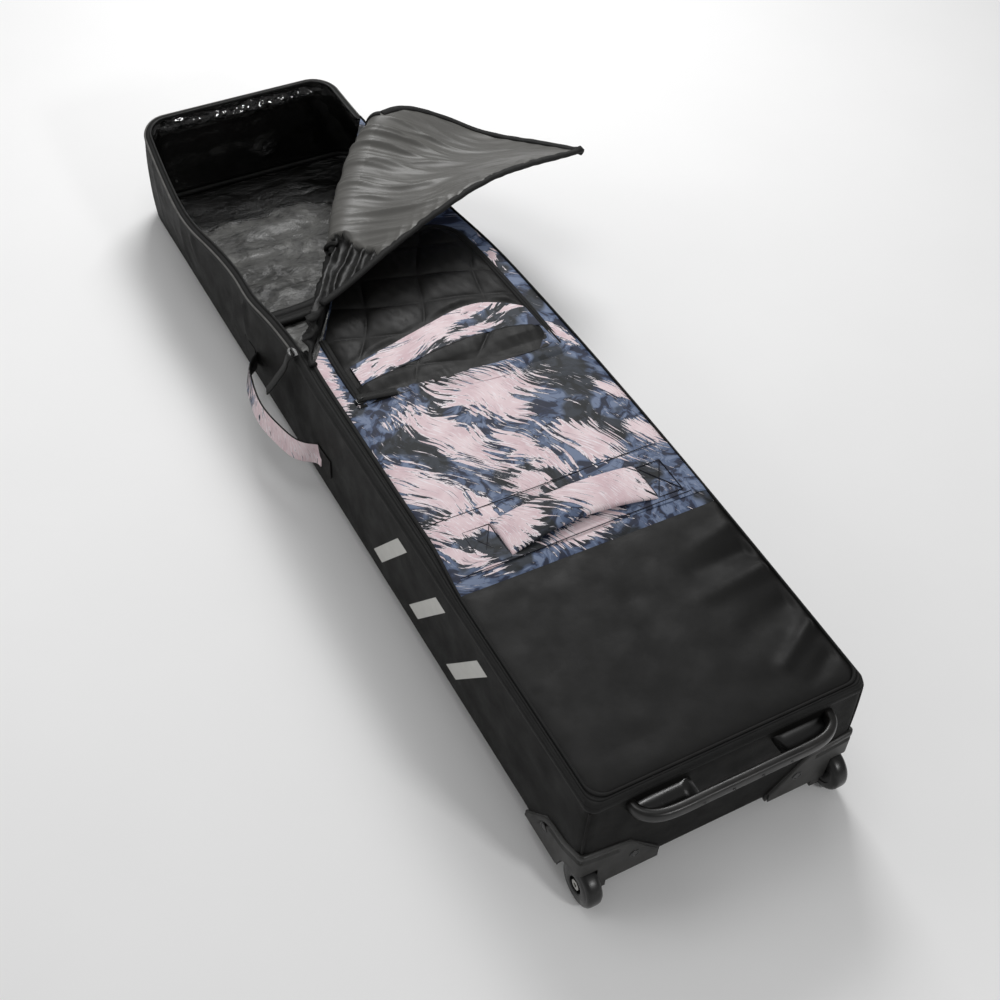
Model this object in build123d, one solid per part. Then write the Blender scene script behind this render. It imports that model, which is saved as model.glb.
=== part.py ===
from build123d import *
import math
import os

# Wheeled snowboard bag lying on its back, its far end unzipped and that part of the lid folded back.
# Millimetres. +X right, +Y from the wheel end to the far end, +Z up. Everything is drawn in the bag's
# own square frame first, and lay_down() then tips it onto its wheels and the far edge of its back.

# Driving sizes of the bag
LENGTH = 1600.0
WIDTH = 424.0
DEPTH = 195.0
WALL = 5.0
PANEL = 5.0
BACK = 6.0
LINING = 1.5

# Wheels
WHEEL_R = 35.0
WHEEL_WIDTH = 25.0
WHEEL_Y = 5.0
HUB_R = 22.0
AXLE_R = 4.0
AXLE_CLEARANCE = 0.05
WELL_R = 39.0
WELL_SIDE = 50.0
WELL_WIDTH = 44.0
HOUSING_WEB = 15.0
AXLE_STOP = 3.0

# Corner guards
GUARD = 3.0
GUARD_CORNER_Z = 86.0
GUARD_SOLE = [(-87.0, -GUARD), (-100.0, 112.0), (-135.0, 131.0)]
SOLE_SEAT = 1.0
GUARD_SIDE = [(131.0, 2.0), (81.0, 62.0), (37.0, 70.0)]
GUARD_END = [(125.0, 14.0), (71.0, 74.0), (12.0, 86.0)]
SCREW_FROM_EDGE = 81.0
SCREW_Z = 36.0
SCREW_HEAD_R = 5.5
SCREW_R = 2.0

# Lid
EDGE_TAPE = 12.0
LID_CORNER_R = 50.0
PRINT_START_Y = 360.0
FOLD_START = (-195.0, 905.0)
FOLD_SLOPE = 1.42
FOLD_GAP = 14.0

# Pocket on the lid
POCKET_LEFT = -158.0
POCKET_RIGHT = 172.0
POCKET_NEAR = 755.0
POCKET_FAR = 1096.0
POCKET_PAD = 4.0
POCKET_TAPE = 9.0

# Folded flap
FLAP_T = 4.0
FLAP_LIFT = 12.0
FLAP_GAP = 1.0
FOLD_AXIS_Z = 206.0

# Handles
SIDE_LOOP_START = 800.0
SIDE_LOOP_END = 1060.0
SIDE_LOOP_OUT = 50.0
SIDE_LOOP_LOW = 50.0
SIDE_LOOP_WIDTH = 38.0
WEBBING = 3.0
GRIP_LEFT = -102.0
GRIP_RIGHT = 130.0
GRIP_FAR = 458.0
GRIP_NEAR = 392.0
BAND_NEAR = 378.0
BAND_FAR = 500.0
END_HALF = 152.0
END_OUT = 42.0
END_LOW = 157.0
END_T = 19.0
END_GAP_HALF = 70.0
END_BAR = 15.0

# Sliders
SLIDER_Y = 905.0
POCKET_SLIDER_Y = 757.0

HALF = WIDTH / 2
LID_UNDER = DEPTH - PANEL
FLOOR_TOP = BACK + 3.0 + LINING
TILT = math.degrees(math.asin(WHEEL_R / (LENGTH - WHEEL_Y)))


def block(x0, x1, y0, y1, z0, z1):
    """A box between two corners."""
    box = Box(x1 - x0, y1 - y0, z1 - z0)
    return Pos((x0 + x1) / 2, (y0 + y1) / 2, (z0 + z1) / 2) * box


def prism(points, z0, z1):
    """A flat outline in X and Y, raised from z0 to z1."""
    face = make_face(Polyline(*points, close=True))
    return Pos(0, 0, z0) * extrude(face, z1 - z0, dir=(0, 0, 1))


def rounded_slab(x0, x1, y0, y1, z0, z1, near_r, far_r):
    """A slab whose near and far corners are rounded."""
    slab = block(x0, x1, y0, y1, z0, z1)
    uprights = slab.edges().filter_by(Axis.Z)
    middle = (y0 + y1) / 2
    if near_r > 0:
        slab = fillet([e for e in uprights if e.center().Y < middle], near_r)
        uprights = slab.edges().filter_by(Axis.Z)
    if far_r > 0:
        corners = [e for e in uprights if e.center().Y > y1 - 0.1 * far_r]
        slab = fillet(corners, far_r)
    return slab


def cylinder_x(radius, x0, x1, y, z):
    """A round bar along X."""
    bar = Rot(0, 90, 0) * Cylinder(radius, x1 - x0)
    return Pos((x0 + x1) / 2, y, z) * bar


def cylinder_y(radius, y0, y1, x, z):
    """A round bar along Y."""
    bar = Rot(90, 0, 0) * Cylinder(radius, y1 - y0)
    return Pos(x, (y0 + y1) / 2, z) * bar


def fold_y(x):
    """Where the fold crosses the lid at this x."""
    return FOLD_START[1] + FOLD_SLOPE * (x - FOLD_START[0])


def near_side(offset, z0, z1):
    """The region on the wheel side of the fold, this far from it."""
    shift = offset * math.hypot(1.0, FOLD_SLOPE)
    left = -HALF - 60
    right = HALF + 60
    corners = [(left, -100), (right, -100), (right, fold_y(right) - shift), (left, fold_y(left) - shift)]
    return prism(corners, z0, z1)


def well_blocks():
    """The two corner spaces that the wheel housings take from the bag."""
    left = block(-HALF, -HALF + WELL_WIDTH, 0, WELL_SIDE, 0, WELL_SIDE)
    return left + mirror(left, Plane.YZ)


def pair(name, left_shape):
    """A left piece and its mirror image on the right."""
    return {"left_" + name: left_shape, "right_" + name: mirror(left_shape, Plane.YZ)}


# The shell

def back_panel():
    """The back of the bag, with a shallow seat for each guard's sole."""
    panel = block(-HALF, HALF, 0, LENGTH, 0, BACK) - well_blocks()
    seat = guard_sole(0, SOLE_SEAT)
    return panel - seat - mirror(seat, Plane.YZ)


def side_wall():
    return block(-HALF, -HALF + WALL, WALL, LENGTH - WALL, BACK, LID_UNDER) - well_blocks()


def end_bolts_at():
    """Where the end handle's bolts pass through the near wall."""
    height = END_LOW + END_T / 2
    return [(x, height) for x in (-135, -88, 88, 135)]


def near_wall():
    wall = block(-HALF, HALF, 0, WALL, BACK, LID_UNDER) - well_blocks()
    for x, z in end_bolts_at():
        wall -= cylinder_y(SCREW_R, -1, WALL + 1, x, z)
    for x in (-HALF + SCREW_FROM_EDGE, HALF - SCREW_FROM_EDGE):
        wall -= cylinder_y(SCREW_R, -1, WALL + 1, x, SCREW_Z)
    return wall


def far_wall():
    return block(-HALF, HALF, LENGTH - WALL, LENGTH, BACK, LID_UNDER)


def base_board():
    return rounded_slab(-196, 196, 54, 1180, BACK, BACK + 3, 20, 20)


def floor_pad():
    return rounded_slab(-200, 200, 1182, 1590, BACK, BACK + 3, 5, 20)


def floor_lining():
    inner = HALF - WALL
    lining = block(-inner, inner, WALL, LENGTH - WALL, BACK + 3, FLOOR_TOP)
    return lining - well_blocks()


def wall_lining():
    outer = HALF - WALL
    ring = block(-outer, outer, WALL, LENGTH - WALL, FLOOR_TOP, LID_UNDER)
    inside = outer - LINING
    ring -= block(-inside, inside, WALL + LINING, LENGTH - WALL - LINING, FLOOR_TOP, LID_UNDER)
    ring -= block(-148, 148, WALL, WALL + LINING, END_LOW - 4, END_LOW + END_T + 4)
    for x in (-HALF + SCREW_FROM_EDGE, HALF - SCREW_FROM_EDGE):
        ring -= cylinder_y(SCREW_R, 0, 2 * WALL, x, SCREW_Z)
    return ring - well_blocks()


def floor_piping():
    radius = 4.0
    side = HALF - WALL - LINING - radius
    end = LENGTH - WALL - LINING - radius
    height = FLOOR_TOP + radius
    start = 1200.0
    tube = cylinder_y(radius, start, end, -side, height)
    tube += cylinder_y(radius, start, end, side, height)
    tube += cylinder_x(radius, -side, side, end, height)
    for x in (-side, side):
        tube += Pos(x, end, height) * Sphere(radius)
    return tube


def floor_strap():
    inner = HALF - WALL - LINING
    return block(-inner, inner, 1150, 1190, FLOOR_TOP, FLOOR_TOP + 3)


# The lid and its zip

def lid_inside(z0, z1):
    return rounded_slab(-HALF + EDGE_TAPE, HALF - EDGE_TAPE, EDGE_TAPE, LENGTH - EDGE_TAPE, z0, z1,
                        LID_CORNER_R, LID_CORNER_R)


def edge_ring():
    """The band of zip tape that runs all the way round the top edge."""
    outer = block(-HALF, HALF, 0, LENGTH, LID_UNDER, DEPTH)
    return outer - lid_inside(LID_UNDER, DEPTH)


def lid_zip_tape():
    return edge_ring() & near_side(0, LID_UNDER, DEPTH)


def rim_zip_tape():
    return edge_ring() - near_side(0, LID_UNDER, DEPTH)


def lid_black_panel():
    return lid_inside(LID_UNDER, DEPTH) & block(-HALF, HALF, 0, PRINT_START_Y, LID_UNDER, DEPTH)


def lid_print_panel():
    rest = block(-HALF, HALF, PRINT_START_Y, LENGTH, LID_UNDER, DEPTH)
    return lid_inside(LID_UNDER, DEPTH) & rest & near_side(0, LID_UNDER, DEPTH)


def pocket_door():
    top = DEPTH + POCKET_PAD
    door = rounded_slab(POCKET_LEFT, POCKET_RIGHT, POCKET_NEAR, POCKET_FAR, DEPTH, top, 0, 45)
    return door & near_side(FOLD_GAP, DEPTH, top)


def pocket_zip_tape():
    top = DEPTH + 2.5
    tape = rounded_slab(POCKET_LEFT - POCKET_TAPE, POCKET_RIGHT + POCKET_TAPE, POCKET_NEAR,
                        POCKET_FAR + POCKET_TAPE, DEPTH, top, 0, 45 + POCKET_TAPE)
    tape -= rounded_slab(POCKET_LEFT, POCKET_RIGHT, POCKET_NEAR - 1, POCKET_FAR, DEPTH, top, 0, 45)
    return tape & near_side(FOLD_GAP, DEPTH, top)


def pocket_band():
    """The bowed band sewn across the pocket door."""
    lower = ThreePointArc((-146, 792), (15, 812), (170, 795))
    right = Line((170, 795), (166, 841))
    upper = Spline((166, 841), (106, 883), (-20, 864), (-142, 836))
    left = Line((-142, 836), (-146, 792))
    face = make_face(lower + right + upper + left)
    band = Pos(0, 0, DEPTH + POCKET_PAD) * extrude(face, 1.2, dir=(0, 0, 1))
    return band & near_side(FOLD_GAP, DEPTH, DEPTH + 20)


def pocket_slider():
    return block(-170, -160, POCKET_SLIDER_Y - 8, POCKET_SLIDER_Y + 8, DEPTH + 2.8, DEPTH + 5.2)


def pocket_pull():
    return block(-156, -99, POCKET_SLIDER_Y - 7, POCKET_SLIDER_Y + 7, DEPTH + 6, DEPTH + 8.5)


def main_slider():
    return block(-HALF - 6, -HALF - 0.4, SLIDER_Y - 11, SLIDER_Y + 11, DEPTH - 9, DEPTH + 2)


def main_pull():
    return block(-HALF - 5, -HALF - 2, SLIDER_Y - 8, SLIDER_Y + 8, DEPTH - 85, DEPTH - 12)


# The flap: drawn closed over the opening, then opened about the fold

def flap_closed():
    under = DEPTH + FLAP_GAP
    whole = lid_inside(under, under + FLAP_T)
    return whole - near_side(-2, under, under + FLAP_T)


def open_flap(shape):
    """Turns a closed flap piece about the fold until it lies back on the lid."""
    axis = Axis((FOLD_START[0], FOLD_START[1], FOLD_AXIS_Z), (1, FOLD_SLOPE, 0))
    return shape.rotate(axis, 180.0 - FLAP_LIFT)


def flap_core():
    under = DEPTH + FLAP_GAP
    inner = rounded_slab(-HALF + 2 * EDGE_TAPE, HALF - 2 * EDGE_TAPE, EDGE_TAPE, LENGTH - 2 * EDGE_TAPE,
                         under, under + FLAP_T, 40, 40)
    return flap_closed() & inner


def lid_flap():
    return open_flap(flap_core())


def flap_zip_tape():
    return open_flap(flap_closed() - flap_core())


# Wheels, axles and guards

def tyre():
    ring = cylinder_x(WHEEL_R, -HALF, -HALF + WHEEL_WIDTH, WHEEL_Y, 0)
    ring = fillet(ring.edges().filter_by(GeomType.CIRCLE), 4.0)
    return ring - cylinder_x(HUB_R, -HALF - 1, -HALF + WHEEL_WIDTH + 1, WHEEL_Y, 0)


def hub():
    disc = cylinder_x(HUB_R, -HALF + 1, -HALF + WHEEL_WIDTH - 1, WHEEL_Y, 0)
    disc -= cylinder_x(13, -HALF, -HALF + 7, WHEEL_Y, 0)
    return disc - cylinder_x(AXLE_R + AXLE_CLEARANCE, -HALF - 1, -HALF + WHEEL_WIDTH + 1, WHEEL_Y, 0)


def guard_sole(z0, z1):
    """The left guard's sole, which laps under the back of the bag."""
    outer = -HALF - GUARD
    return prism([(outer, -GUARD)] + GUARD_SOLE + [(outer, 131)], z0, z1)


def axle_bolt():
    head = cylinder_x(8, -HALF + 1, -HALF + 6.6, WHEEL_Y, 0)
    head -= Pos(-HALF + 1, WHEEL_Y, 0) * Rot(0, 90, 0) * extrude(RegularPolygon(3.4, 6), 3, both=True)
    shank = cylinder_x(AXLE_R, -HALF + 6.6, -HALF + WELL_WIDTH - AXLE_STOP, WHEEL_Y, 0)
    return head + shank


def wheel_guard():
    """Corner guard: two outer plates, a sole, and the housing that carries the axle."""
    outer = -HALF - GUARD
    side_points = [(-GUARD, -GUARD), (131, -GUARD)] + GUARD_SIDE + [(0, GUARD_CORNER_Z), (-GUARD, GUARD_CORNER_Z)]
    side_wire = Polyline(*[(outer, y, z) for y, z in side_points], close=True)
    plate = extrude(make_face(side_wire), GUARD, dir=(1, 0, 0))
    end_points = [(0, -GUARD), (125, -GUARD)] + GUARD_END + [(0, GUARD_CORNER_Z)]
    end_wire = Polyline(*[(-HALF + x, -GUARD, z) for x, z in end_points], close=True)
    plate += extrude(make_face(end_wire), GUARD, dir=(0, 1, 0))
    lap = guard_sole(0, SOLE_SEAT) & block(-HALF, HALF, 0, LENGTH, 0, SOLE_SEAT)
    plate += guard_sole(-GUARD, 0) + lap
    housing = block(-HALF, -HALF + WELL_WIDTH, 0, WELL_SIDE, 0, WELL_SIDE)
    web = block(-HALF + WELL_WIDTH - HOUSING_WEB, -HALF + WELL_WIDTH, -GUARD, WELL_SIDE, -22, 0)
    guard = plate + housing + web
    guard -= cylinder_x(WELL_R, outer - 1, -HALF + WELL_WIDTH - HOUSING_WEB, WHEEL_Y, 0)
    guard -= cylinder_x(AXLE_R, -HALF, -HALF + WELL_WIDTH - AXLE_STOP, WHEEL_Y, 0)
    return guard - cylinder_y(SCREW_R, -GUARD - 1, 1, -HALF + SCREW_FROM_EDGE, SCREW_Z)


def skid():
    keel = block(-HALF + WELL_WIDTH + 1, -HALF + 100, 0, 100, -20, -GUARD)
    lower = keel.edges().filter_by(Axis.X).group_by(Axis.Z)[0]
    keel = fillet(lower, 14)
    sides = keel.edges().filter_by(Axis.Y).group_by(Axis.Z)[0]
    return fillet(sides, 6)


def guard_screws():
    screw = cylinder_y(SCREW_HEAD_R, -GUARD - 2, -GUARD, -HALF + SCREW_FROM_EDGE, SCREW_Z)
    screw += cylinder_y(SCREW_R, -GUARD, WALL + LINING, -HALF + SCREW_FROM_EDGE, SCREW_Z)
    return Compound([screw, mirror(screw, Plane.YZ)])


# Handles

def side_handle():
    """A webbing loop standing out from the left wall."""
    x = -HALF - 3
    middle = (SIDE_LOOP_START + SIDE_LOOP_END) / 2
    outer = make_face(ThreePointArc((x, SIDE_LOOP_START), (x - SIDE_LOOP_OUT, middle), (x, SIDE_LOOP_END))
                      + Line((x, SIDE_LOOP_END), (x, SIDE_LOOP_START)))
    inset = WEBBING * 1.6
    inner = make_face(ThreePointArc((x, SIDE_LOOP_START + 2 * inset), (x - SIDE_LOOP_OUT + WEBBING, middle),
                                    (x, SIDE_LOOP_END - 2 * inset))
                      + Line((x, SIDE_LOOP_END - 2 * inset), (x, SIDE_LOOP_START + 2 * inset)))
    band = extrude(outer - inner, SIDE_LOOP_WIDTH, dir=(0, 0, 1))
    return Pos(0, 0, SIDE_LOOP_LOW) * band


def side_handle_tabs():
    """The sewn ends of the side handle, flat on the wall."""
    low = SIDE_LOOP_LOW
    high = SIDE_LOOP_LOW + SIDE_LOOP_WIDTH
    near_tab = block(-HALF - 2, -HALF, SIDE_LOOP_START - 38, SIDE_LOOP_START + 6, low, high)
    far_tab = block(-HALF - 2, -HALF, SIDE_LOOP_END - 6, SIDE_LOOP_END + 38, low, high)
    return Compound([near_tab, far_tab])


def grab_band():
    return block(-HALF + EDGE_TAPE, HALF - EDGE_TAPE, BAND_NEAR, BAND_FAR, DEPTH, DEPTH + 1.2)


def grab_grip():
    """The padded grip on the lid, its near edge bowed."""
    middle = (GRIP_LEFT + GRIP_RIGHT) / 2
    near = ThreePointArc((GRIP_LEFT, GRIP_NEAR), (middle, GRIP_NEAR + 12), (GRIP_RIGHT, GRIP_NEAR))
    face = make_face(near + Line((GRIP_RIGHT, GRIP_NEAR), (GRIP_RIGHT, GRIP_FAR))
                     + Line((GRIP_RIGHT, GRIP_FAR), (GRIP_LEFT, GRIP_FAR))
                     + Line((GRIP_LEFT, GRIP_FAR), (GRIP_LEFT, GRIP_NEAR)))
    return Pos(0, 0, DEPTH + 1.8) * extrude(face, 7, dir=(0, 0, 1))


def end_outline(grow):
    """Plan of the end handle: a flat bar with round shoulders."""
    half = END_HALF - grow
    out = -END_OUT + grow
    shoulder = half - 58
    left = Spline((-half, 0), (-half + 16, 0.62 * out), (-shoulder, out),
                  tangents=[(0.25, -1), (1, 0)])
    bar = Line((-shoulder, out), (shoulder, out))
    right = Spline((shoulder, out), (half - 16, 0.62 * out), (half, 0),
                   tangents=[(1, 0), (0.25, 1)])
    return make_face(left + bar + right + Line((half, 0), (-half, 0)))


def end_handle():
    """Moulded handle on the near wall, its ends dished, with a hand gap behind the bar."""
    body = Pos(0, 0, END_LOW) * extrude(end_outline(0), END_T, dir=(0, 0, 1))
    rims = body.edges().filter_by(lambda e: e.center().Y < -1 and abs(e.center().Z - END_LOW) < 0.1)
    body = fillet(rims, 5)
    dish = Pos(0, 0, END_LOW + 8) * extrude(end_outline(7), END_T, dir=(0, 0, 1))
    bar_zone = block(-END_GAP_HALF - 8, END_GAP_HALF + 8, -END_OUT, 0, 0, DEPTH)
    body -= dish - bar_zone
    body -= block(-END_GAP_HALF, END_GAP_HALF, -END_OUT + END_BAR, 0, 0, DEPTH)
    for x, z in end_bolts_at():
        body -= cylinder_y(SCREW_R, -9, 1, x, z)
    return body


def handle_backing_plate():
    plate = block(-147, 147, WALL, WALL + 3, END_LOW - 3, END_LOW + END_T + 3)
    for x, z in end_bolts_at():
        plate -= cylinder_y(SCREW_R, WALL - 1, WALL + 4, x, z)
    return plate


def handle_bolts():
    bolts = []
    for x, z in end_bolts_at():
        head = cylinder_y(4, WALL + 3, WALL + 6, x, z)
        bolts.append(head + cylinder_y(SCREW_R, 0.2, WALL + 3, x, z))
    return Compound(bolts)


def all_parts():
    parts = {
        "back_panel": back_panel(),
        "near_end_wall": near_wall(),
        "far_end_wall": far_wall(),
        "base_board": base_board(),
        "floor_pad": floor_pad(),
        "floor_lining": floor_lining(),
        "wall_lining": wall_lining(),
        "floor_piping": floor_piping(),
        "floor_strap": floor_strap(),
        "lid_zip_tape": lid_zip_tape(),
        "rim_zip_tape": rim_zip_tape(),
        "lid_black_panel": lid_black_panel(),
        "lid_print_panel": lid_print_panel(),
        "pocket_door": pocket_door(),
        "pocket_zip_tape": pocket_zip_tape(),
        "pocket_band": pocket_band(),
        "pocket_slider": pocket_slider(),
        "pocket_pull": pocket_pull(),
        "main_slider": main_slider(),
        "main_pull": main_pull(),
        "lid_flap": lid_flap(),
        "flap_zip_tape": flap_zip_tape(),
        "guard_screws": guard_screws(),
        "side_handle": side_handle(),
        "side_handle_tabs": side_handle_tabs(),
        "grab_band": grab_band(),
        "grab_grip": grab_grip(),
        "end_handle": end_handle(),
        "handle_backing_plate": handle_backing_plate(),
        "handle_bolts": handle_bolts(),
    }
    parts.update(pair("side_wall", side_wall()))
    parts.update(pair("tyre", tyre()))
    parts.update(pair("wheel_hub", hub()))
    parts.update(pair("axle_bolt", axle_bolt()))
    parts.update(pair("wheel_guard", wheel_guard()))
    parts.update(pair("skid", skid()))
    return parts


def lay_down(parts):
    """Tips the bag onto its wheels and its far back edge, and centres its box on the origin."""
    tipped = {name: Rot(-TILT, 0, 0) * shape for name, shape in parts.items()}
    box = Compound(list(tipped.values())).bounding_box()
    shift = Pos(-(box.min.X + box.max.X) / 2, -(box.min.Y + box.max.Y) / 2, -box.min.Z)
    return {name: shift * shape for name, shape in tipped.items()}, shift


def main():
    os.makedirs("parts", exist_ok=True)
    laid, _ = lay_down(all_parts())
    for name, shape in laid.items():
        export_step(shape, "parts/" + name + ".step")


if __name__ == "__main__":
    main()
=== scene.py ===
import math

import bmesh
import bpy
import numpy as np
from mathutils import Matrix, Vector


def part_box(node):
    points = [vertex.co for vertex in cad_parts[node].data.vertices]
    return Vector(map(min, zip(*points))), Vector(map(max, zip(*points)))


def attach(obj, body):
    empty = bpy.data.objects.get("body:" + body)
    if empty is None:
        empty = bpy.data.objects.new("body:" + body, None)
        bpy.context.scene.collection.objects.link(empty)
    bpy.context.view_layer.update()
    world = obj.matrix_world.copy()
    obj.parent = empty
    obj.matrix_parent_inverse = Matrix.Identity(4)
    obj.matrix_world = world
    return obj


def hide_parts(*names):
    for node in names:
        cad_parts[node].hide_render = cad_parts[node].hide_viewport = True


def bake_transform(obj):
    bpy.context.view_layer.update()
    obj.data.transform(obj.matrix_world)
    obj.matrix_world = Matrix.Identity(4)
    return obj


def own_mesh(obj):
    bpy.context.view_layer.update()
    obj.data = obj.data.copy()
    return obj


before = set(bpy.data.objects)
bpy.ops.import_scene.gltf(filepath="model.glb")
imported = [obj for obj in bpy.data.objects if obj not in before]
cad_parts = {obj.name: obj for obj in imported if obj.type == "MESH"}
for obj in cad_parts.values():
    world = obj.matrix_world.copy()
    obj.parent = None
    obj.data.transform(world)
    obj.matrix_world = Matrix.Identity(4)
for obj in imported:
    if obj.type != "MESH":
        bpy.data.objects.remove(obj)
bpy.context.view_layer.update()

# A wheeled snowboard bag on its back. Pieces are drawn in the bag's own square frame, in metres:
# +X right, +Y from the wheels to the far end, +Z up, the back at z 0. BAG then lays them in the row frame.
LENGTH = 1.600
HALF = 0.212
DEPTH = 0.195
LID_Z = 0.1928
WHEEL_R = 0.035
WHEEL_Y = 0.005
WHEEL_IN = 0.187
WALL_TOP = 0.182
NEAR_R = 0.014
FAR_R = 0.052
PANEL_NEAR = 0.0105
PANEL_R = 0.026
RIGHT_SEAM = 0.0030
PRINT_START = 0.360
LINING_INSET = 0.0045
FLOOR_Z = 0.0110

# The fold: its outermost line starts here and runs along FOLD_ALONG; FOLD_ACROSS points to the wheels' side
FOLD_SLOPE = 1.42
FOLD_START = np.array([-0.195, 0.905])
FOLD_ALONG = np.array([1.0, FOLD_SLOPE]) / math.hypot(1.0, FOLD_SLOPE)
FOLD_ACROSS = np.array([FOLD_ALONG[1], -FOLD_ALONG[0]])
ROLL_R = 0.022
FOLD_RIGHT_Y = 1.442
FLAP_LIFT = math.radians(12)
CLOSED_ABOVE = 0.0075

# The pocket
POCKET_LEFT = -0.158
POCKET_RIGHT = 0.172
POCKET_NEAR = 0.757
POCKET_FAR = 1.096
POCKET_R = 0.045

UP = np.array([0.0, 0.0, 1.0])
FOLD_AXIS = np.append(FOLD_ALONG, 0.0)


# Numbers and curves

def bag_matrix():
    """From the bag's frame to the row frame: the bag is tipped about its axle onto its far back edge."""
    left_low, left_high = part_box("left_axle_bolt")
    right_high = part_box("right_axle_bolt")[1]
    axle = (left_low + left_high) / 2
    axle.x = (left_low.x + right_high.x) / 2
    tilt = math.asin(WHEEL_R / (LENGTH - WHEEL_Y))
    return Matrix.Translation(axle) @ Matrix.Rotation(-tilt, 4, "X") @ Matrix.Translation((0, -WHEEL_Y, 0))


BAG = bag_matrix()
BAG_TURN = np.array(BAG.to_3x3())
BAG_SHIFT = np.array(BAG.translation)


def to_row(points):
    """Points of the bag's frame, in the row frame."""
    return np.asarray(points) @ BAG_TURN.T + BAG_SHIFT


def spline(places, values):
    """A natural cubic curve through a few values, as a function."""
    x = np.array(places, float)
    y = np.array(values, float)
    step = np.diff(x)
    slope = np.diff(y) / step
    size = len(x)
    system = np.eye(size)
    right = np.zeros(size)
    for i in range(1, size - 1):
        system[i, i - 1:i + 2] = step[i - 1], 2 * (step[i - 1] + step[i]), step[i]
        right[i] = 6 * (slope[i] - slope[i - 1])
    bend = np.linalg.solve(system, right)

    def value(at):
        at = np.clip(at, x[0], x[-1])
        i = np.clip(np.searchsorted(x, at) - 1, 0, size - 2)
        a = (x[i + 1] - at) / step[i]
        b = (at - x[i]) / step[i]
        curve = ((a ** 3 - a) * bend[i] + (b ** 3 - b) * bend[i + 1]) * step[i] ** 2 / 6
        return a * y[i] + b * y[i + 1] + curve
    return value


def lengths_along(points):
    """How far each point lies along the line through them."""
    return np.concatenate([[0], np.cumsum(np.linalg.norm(np.diff(points, axis=0), axis=1))])


def route(points, count):
    """A smooth line through a few points, sampled evenly enough for a sweep."""
    points = np.array(points, float)
    lengths = lengths_along(points)
    at = np.linspace(0, lengths[-1], count)
    return np.stack([spline(lengths, points[:, k])(at) for k in range(points.shape[1])], axis=1)


def ease(x, low, high):
    """0 before low, 1 after high, smooth between."""
    t = np.clip((np.asarray(x, float) - low) / (high - low), 0, 1)
    return t * t * (3 - 2 * t)


def mix(a, b, t):
    """From a at t 0 to b at t 1."""
    return a * (1 - t) + b * t


def circle(count):
    """The cosines and sines of angles spread evenly round a circle."""
    turn = np.linspace(0, 2 * math.pi, count, endpoint=False)
    return np.cos(turn), np.sin(turn)


def squarer(wave, power):
    """A cosine or sine raised to a power below 1 with its sign kept, which squares off a circle."""
    return np.sign(wave) * np.abs(wave) ** power


def at_height(line, z):
    """The points of a flat line at height z."""
    return np.column_stack([line, np.full(len(line), z)])


def unit(vectors):
    """The vectors at length 1."""
    return vectors / np.maximum(np.linalg.norm(vectors, axis=-1, keepdims=True), 1e-9)


def headings(path):
    """The unit direction of a path at each of its points."""
    return unit(np.gradient(path, axis=0))


def square_to(vectors, along):
    """The vectors turned to be square to the unit vectors along."""
    return unit(vectors - along * np.sum(vectors * along, axis=1, keepdims=True))


def path_sides(path, normal):
    """Unit vectors square to a path, lying across it as seen along normal."""
    return unit(np.cross(np.broadcast_to(normal, path.shape), headings(path)))


def ripples(x, y, size, seed):
    """Smooth random undulation between about -1 and 1, with bumps of about this size."""
    waves = 7
    random = np.random.RandomState(seed)
    total = np.zeros(np.broadcast(x, y).shape)
    for _ in range(waves):
        turn = random.uniform(0, math.pi)
        wave = 2 * math.pi / (size * random.uniform(0.7, 1.9))
        total += np.sin(wave * (x * math.cos(turn) + y * math.sin(turn)) + random.uniform(0, 2 * math.pi))
    return total / (0.62 * waves)


def creases(x, y, size, seed):
    """Sharp-edged crumple between 0 and 1."""
    warp = 0.35 * size * ripples(x, y, 1.3 * size, seed + 50)
    first = 1 - np.abs(ripples(x + warp, y, size, seed))
    second = 1 - np.abs(ripples(x, y + warp, 0.45 * size, seed + 1))
    return np.clip(0.65 * first + 0.35 * second, 0, 1)


def fold_place(s, n, z):
    """A point at s along the fold, n towards the wheels' side of it and height z."""
    s, n, z = np.broadcast_arrays(s, n, z)
    x = FOLD_START[0] + s * FOLD_ALONG[0] + n * FOLD_ACROSS[0]
    y = FOLD_START[1] + s * FOLD_ALONG[1] + n * FOLD_ACROSS[1]
    return np.stack([x, y, z], axis=-1)


def fold_y(x, n):
    """Where the line n towards the wheels' side of the fold crosses this x."""
    return FOLD_START[1] + (x - FOLD_START[0]) * FOLD_SLOPE - n / FOLD_ALONG[0]


def fold_x(y, n):
    """Where the line n towards the wheels' side of the fold crosses this y."""
    return FOLD_START[0] + (y + n / FOLD_ALONG[0] - FOLD_START[1]) / FOLD_SLOPE


# The open end's soft top edge: how far its right side leans in, and its left side leans out and sags
RIM_IN_RIGHT = spline([0, 0.8, 0.904, 1.024, 1.124, 1.30, 1.424, 1.52, 1.6],
                      [0, 0.001, 0.005, 0.013, 0.027, 0.045, 0.054, 0.056, 0.056])
RIM_OUT_LEFT = spline([0, 0.78, 0.86, 0.905, 0.95, 1.017, 1.073, 1.128,
                       1.18, 1.24, 1.29, 1.337, 1.40, 1.455, 1.538, 1.6],
                      [0, 0.001, -0.002, -0.005, -0.004, 0.002, 0.007, 0.005,
                       0.007, 0.014, 0.021, 0.0235, 0.021, 0.0165, 0.008, 0])
RIM_SAG = spline([0, 0.80, 0.905, 0.95, 1.017, 1.073, 1.128, 1.24, 1.337, 1.40, 1.455, 1.538, 1.6],
                 [0, 0.000, 0.005, 0.0065, 0.008, 0.013, 0.016, 0.021, 0.026, 0.0225, 0.0175, 0.008, 0.001])


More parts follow.
